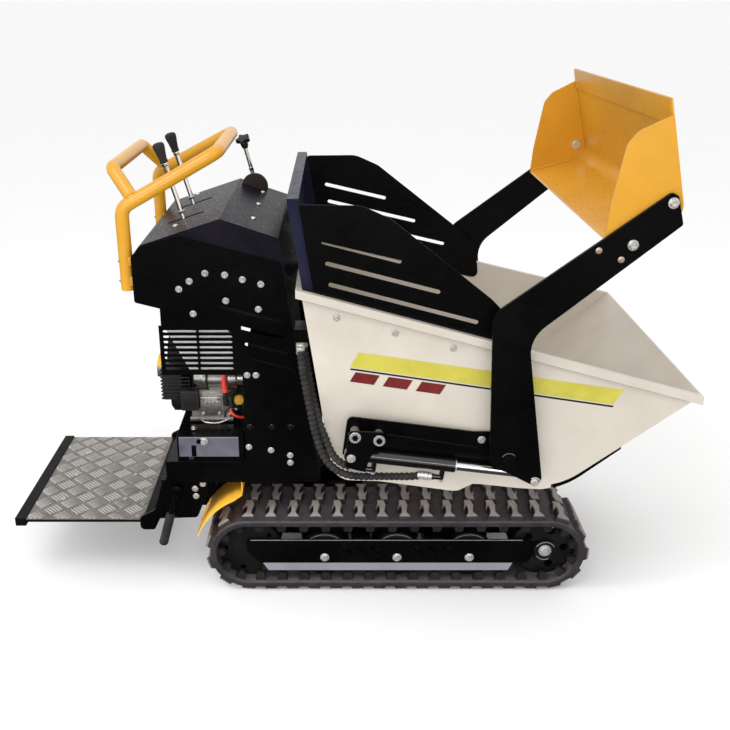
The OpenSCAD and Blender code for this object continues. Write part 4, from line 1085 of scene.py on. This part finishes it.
def make_bed_cover(side):
    """The pale front of the engine bed, with a slot, a bolt and a painted highlight line along its top
    edge.
    """
    bm = bmesh.new()
    out = SIDES[side]
    y = sorted((out * (BED_HW - 0.5), out * (BED_HW + 1.6)))
    block(bm, (-494, y[0], 484), (-306, y[1], 553), 0.8)
    block(bm, (-455, y[0] - 0.5, 485), (-440, y[1] + 0.5, 524), 0.9, 1)
    # painted highlight along the top edge
    sweep(bm, [Vector((x, out * (BED_HW + 0.8), 551)) for x in (-493, -400, -307)], 1.4, 8, 3)
    bolt(bm, (-415, out * BED_HW, 538), (0, out, 0), 17, 8, 0.8, (2, 2))
    piece("bed_cover_" + side, bm, [box_grey, black, zinc, satin_grey], "chassis")


ROLLER_X = (-37, 201, 439)
SKIRT_TOP = (322, 97)
SKIRT_FOOT = (336, 78)
FRAME_FACE = 314
LINE_Y = 321.4
FRAME_TOP = 183.6
ARCH_Y = 307.6
ARCH_Z = 118.5
ARCH_R = 77


def make_track_trim(side):
    """A track frame's bright skirt and its idler cap, with painted highlight arcs on the cap and painted
    highlight lines along the frame's top edge and over its roller arches.
    """
    bm = bmesh.new()
    out = SIDES[side]
    skirt = ((-241, SKIRT_TOP), (583, SKIRT_TOP), (566, SKIRT_FOOT), (-222, SKIRT_FOOT))
    loft(bm, [[bm.verts.new((x, out * (y + proud * 0.8), z + proud * 0.6)) for x, (y, z) in skirt]
              for proud in (0.2, 1.2)])
    place = turned((0, out, 0), (FRONT_X, out * FRAME_FACE, AXLE_Z))
    lathe(bm, [(35, 0.2), (36, 1), (36, 6), (34, 7.5), (30, 7.5), (28, 5.5)], place, 40, 1)
    # painted highlight: grey arcs on the idler cap's rim
    for span in ((30, 150), (215, 300)):
        rim_line(bm, (FRONT_X, out * LINE_Y, AXLE_Z), 33, span, 1.6)
    # painted highlight along the frame's top edge
    sweep(bm, [Vector((x, out * LINE_Y, FRAME_TOP)) for x in (-280, 0, 300, 610)], 1.5, 8, 2)
    # painted highlight arcs over the roller arches
    for x in ROLLER_X:
        rim_line(bm, (x, out * ARCH_Y, ARCH_Z), ARCH_R, (30, 150), 1.3, 2, 6)
    piece("track_trim_" + side, bm, [satin_grey, iron, painted_highlight_grey], "chassis")


FAN_FACE = -546
FAN_Z = 696
SCREW_RING = 84


def make_shroud_ribs():
    """A ribbed cowl on the near edge of the fan housing, and the rim and screws of its inlet."""
    bm = bmesh.new()
    block(bm, (-553, -211, 635), (-488, -150, 752), 9)
    for k in range(9):
        z = 640 + k * 12
        block(bm, (-556, -214, z), (-462, -203, z + 5), 1.5)
    lathe(bm, [(103, -2), (112, 0), (113, 4), (106, 6), (100, 4)],
          turned((-1, 0, 0), (FAN_FACE, 0, FAN_Z)), 48)
    for k in range(12):
        turn = 2 * pi * k / 12
        seat = (FAN_FACE, SCREW_RING * sin(turn), FAN_Z + SCREW_RING * cos(turn))
        button(bm, seat, (-1, 0, 0), 5, 5)
    piece("shroud_ribs", bm, [moulded], "chassis")


# Tub and shovel

def wall_strip(bm, side, points, slot, proud=0.5):
    """A thin film on the tub's side wall, its corners given as (x, z)."""
    loft(bm, [[bm.verts.new((x, SIDES[side] * (wall_hw(x) + out), z)) for x, z in points]
              for out in (0.05, proud)], slot)


def slanted_bar(x0, x1, z, height, slope, cut):
    """A stripe whose ends are cut on a slant."""
    end = z - (x1 - x0) * slope
    return [(x0, z), (x1, end), (x1 + cut, end + height), (x0 + cut, z + height)]


def make_stripes(side):
    """Plain stripes along the side of the tub."""
    bm = bmesh.new()
    slope = 0.13
    wall_strip(bm, side, slanted_bar(40, 800, 838, 46, slope, 26), 0)
    wall_strip(bm, side, slanted_bar(40, 800, 829, 5, slope, 3), 2)
    for k in range(3):
        x = 40 + k * 96
        wall_strip(bm, side, slanted_bar(x, x + 70, 792 - (x - 40) * slope, 30, slope, 17), 1)
    piece("side_stripes_" + side, bm, [stripe_lime, stripe_red, stripe_black], "skip")


RIM_H = 25


def rim_at(x):
    """Height of the tub's rim."""
    return 1068 - (x + 100) * 293 / 1148


def make_rim_shadow(side):
    """A dark strip under the fold of the rim: painted shadow of the overhanging fold."""
    bm = bmesh.new()
    ends = (-92, 1004)
    low = [(x, rim_at(x) - RIM_H - 4) for x in ends]
    high = [(x, rim_at(x) - RIM_H - 0.1) for x in ends[::-1]]
    wall_strip(bm, side, low + high, 0, 4)
    piece("painted_rim_shadow_" + side, bm, [rim_shadow_paint], "skip")


def bead(bm, points, radius):
    """A weld bead with its ripples."""
    line = [Vector(p) for p in points]
    path = even_path(line, max(8, int(path_length(line) / 5)))
    sweep(bm, path, [radius * (0.82 + 0.18 * (i % 2)) for i in range(len(path))], 8)


SHOVEL_EDGE = Vector((843, 0, 1597))
SHOVEL_HEEL = Vector((918, 0, 1289))
SHOVEL_LIP = Vector((712, 0, 1233))
SHOVEL_T = 5


def make_shovel_trim():
    """Wear strip along the cutting edge, weld beads in the corners and bolt heads inside."""
    bm = bmesh.new()
    rise = (SHOVEL_EDGE - SHOVEL_HEEL).normalized()
    inward = Vector((-rise.z, 0, rise.x))
    reach = (SHOVEL_EDGE - SHOVEL_HEEL).length
    half = ARM_IN - 7
    corners = []
    for back, n in ((66, 4.9), (0.5, 4.9), (0.5, 6), (62, 9.5), (66, 9.5)):
        p = SHOVEL_HEEL + rise * (reach - back) + inward * n
        corners.append((p.x, p.z))
    prism(bm, corners, 2 * half, upright(-half), 0.8)
    run = (SHOVEL_LIP - SHOVEL_HEEL).normalized()
    for side in SIDES.values():
        y = side * (ARM_IN - SHOVEL_T - 1)
        floor = Vector((-run.z, 0, run.x))
        bead(bm, [SHOVEL_HEEL + rise * t + inward * 7 + Vector((0, y, 0)) for t in (70, 255)], 4)
        bead(bm, [SHOVEL_HEEL + run * t - floor * 7 + Vector((0, y, 0)) for t in (60, 205)], 4)
        bolt(bm, (872, side * (ARM_IN - SHOVEL_T), 1335), (0, -side, 0), 20, 10, 0.8, (1, 1))
    piece("shovel_trim", bm, [yellow, zinc], "loader")


def make_pieces():
    for make in (make_chassis_bolts, make_skip_bolts, make_loader_bolts, make_handlebar, make_throttle,
                 make_console_screws, make_foot_lever, make_tread, make_starter, make_engine_trim,
                 make_shroud_ribs, make_shovel_trim):
        make()
    for side in SIDES:
        for make in (make_belt, make_drive_lever, make_lift_fittings, make_skip_fittings, make_stripes,
                     make_rim_shadow, make_bed_cover, make_backdrop_light, make_track_trim):
            make(side)


# Stage

def make_stage():
    bm = bmesh.new()
    bmesh.ops.create_grid(bm, x_segments=1, y_segments=1, size=400)
    mesh = bpy.data.meshes.new("floor")
    bm.to_mesh(mesh)
    bm.free()
    made, tree, surface = shader("floor_paper", Specular_IOR_Level=0.1, Roughness=0.9)
    tone = blend(tree, noise(tree, 2), (0.93, 0.93, 0.93), (0.95, 0.95, 0.95))
    tree.links.new(tone, surface.inputs["Base Color"])
    mesh.materials.append(made)
    floor = put("floor", mesh)
    floor.visible_glossy = False


def make_sky():
    """White above the horizon and dark below it, so that upright gloss stays deep."""
    world = bpy.data.worlds.new("studio")
    world.use_nodes = True
    tree = world.node_tree
    sky = tree.nodes["Background"]
    place = add_node(tree, "TexCoord")
    parts = add_node(tree, "SeparateXYZ")
    tree.links.new(place.outputs["Generated"], parts.inputs["Vector"])
    above = ranged(tree, parts.outputs["Z"], -0.2, -0.08)
    tree.links.new(blend(tree, above, (0.05, 0.05, 0.055), (1, 1, 1)), sky.inputs["Color"])
    sky.inputs["Strength"].default_value = 1.0
    scene.world = world


def make_lights():
    area_light("key", (-1.4, -2.6, 4.4), (0.1, 0, 0.7), (2.4, 1.6), 52)
    area_light("back", (0.6, 2.2, 5.0), (0.2, 0, 0.9), (3.5, 2.0), 14)
    area_light("low_strip", (0.2, -5.0, 2.3), (0.2, -0.3, 0.1), (4.0, 0.5), 45)
    area_light("front_fill", (0.2, -2.3, 0.2), (0.2, -0.3, 0.5), (2.2, 0.4), 2, mirrored=False)
    area_light("rear_fill", (-1.9, -0.7, 0.7), (-0.38, -0.36, 0.36), (0.9, 0.9), 3.2,
               mirrored=False, spread=40)


make_camera()
make_hoses()
make_stage()
make_sky()
make_lights()
dress_all()
make_pieces()

scene.view_settings.view_transform = "Standard"
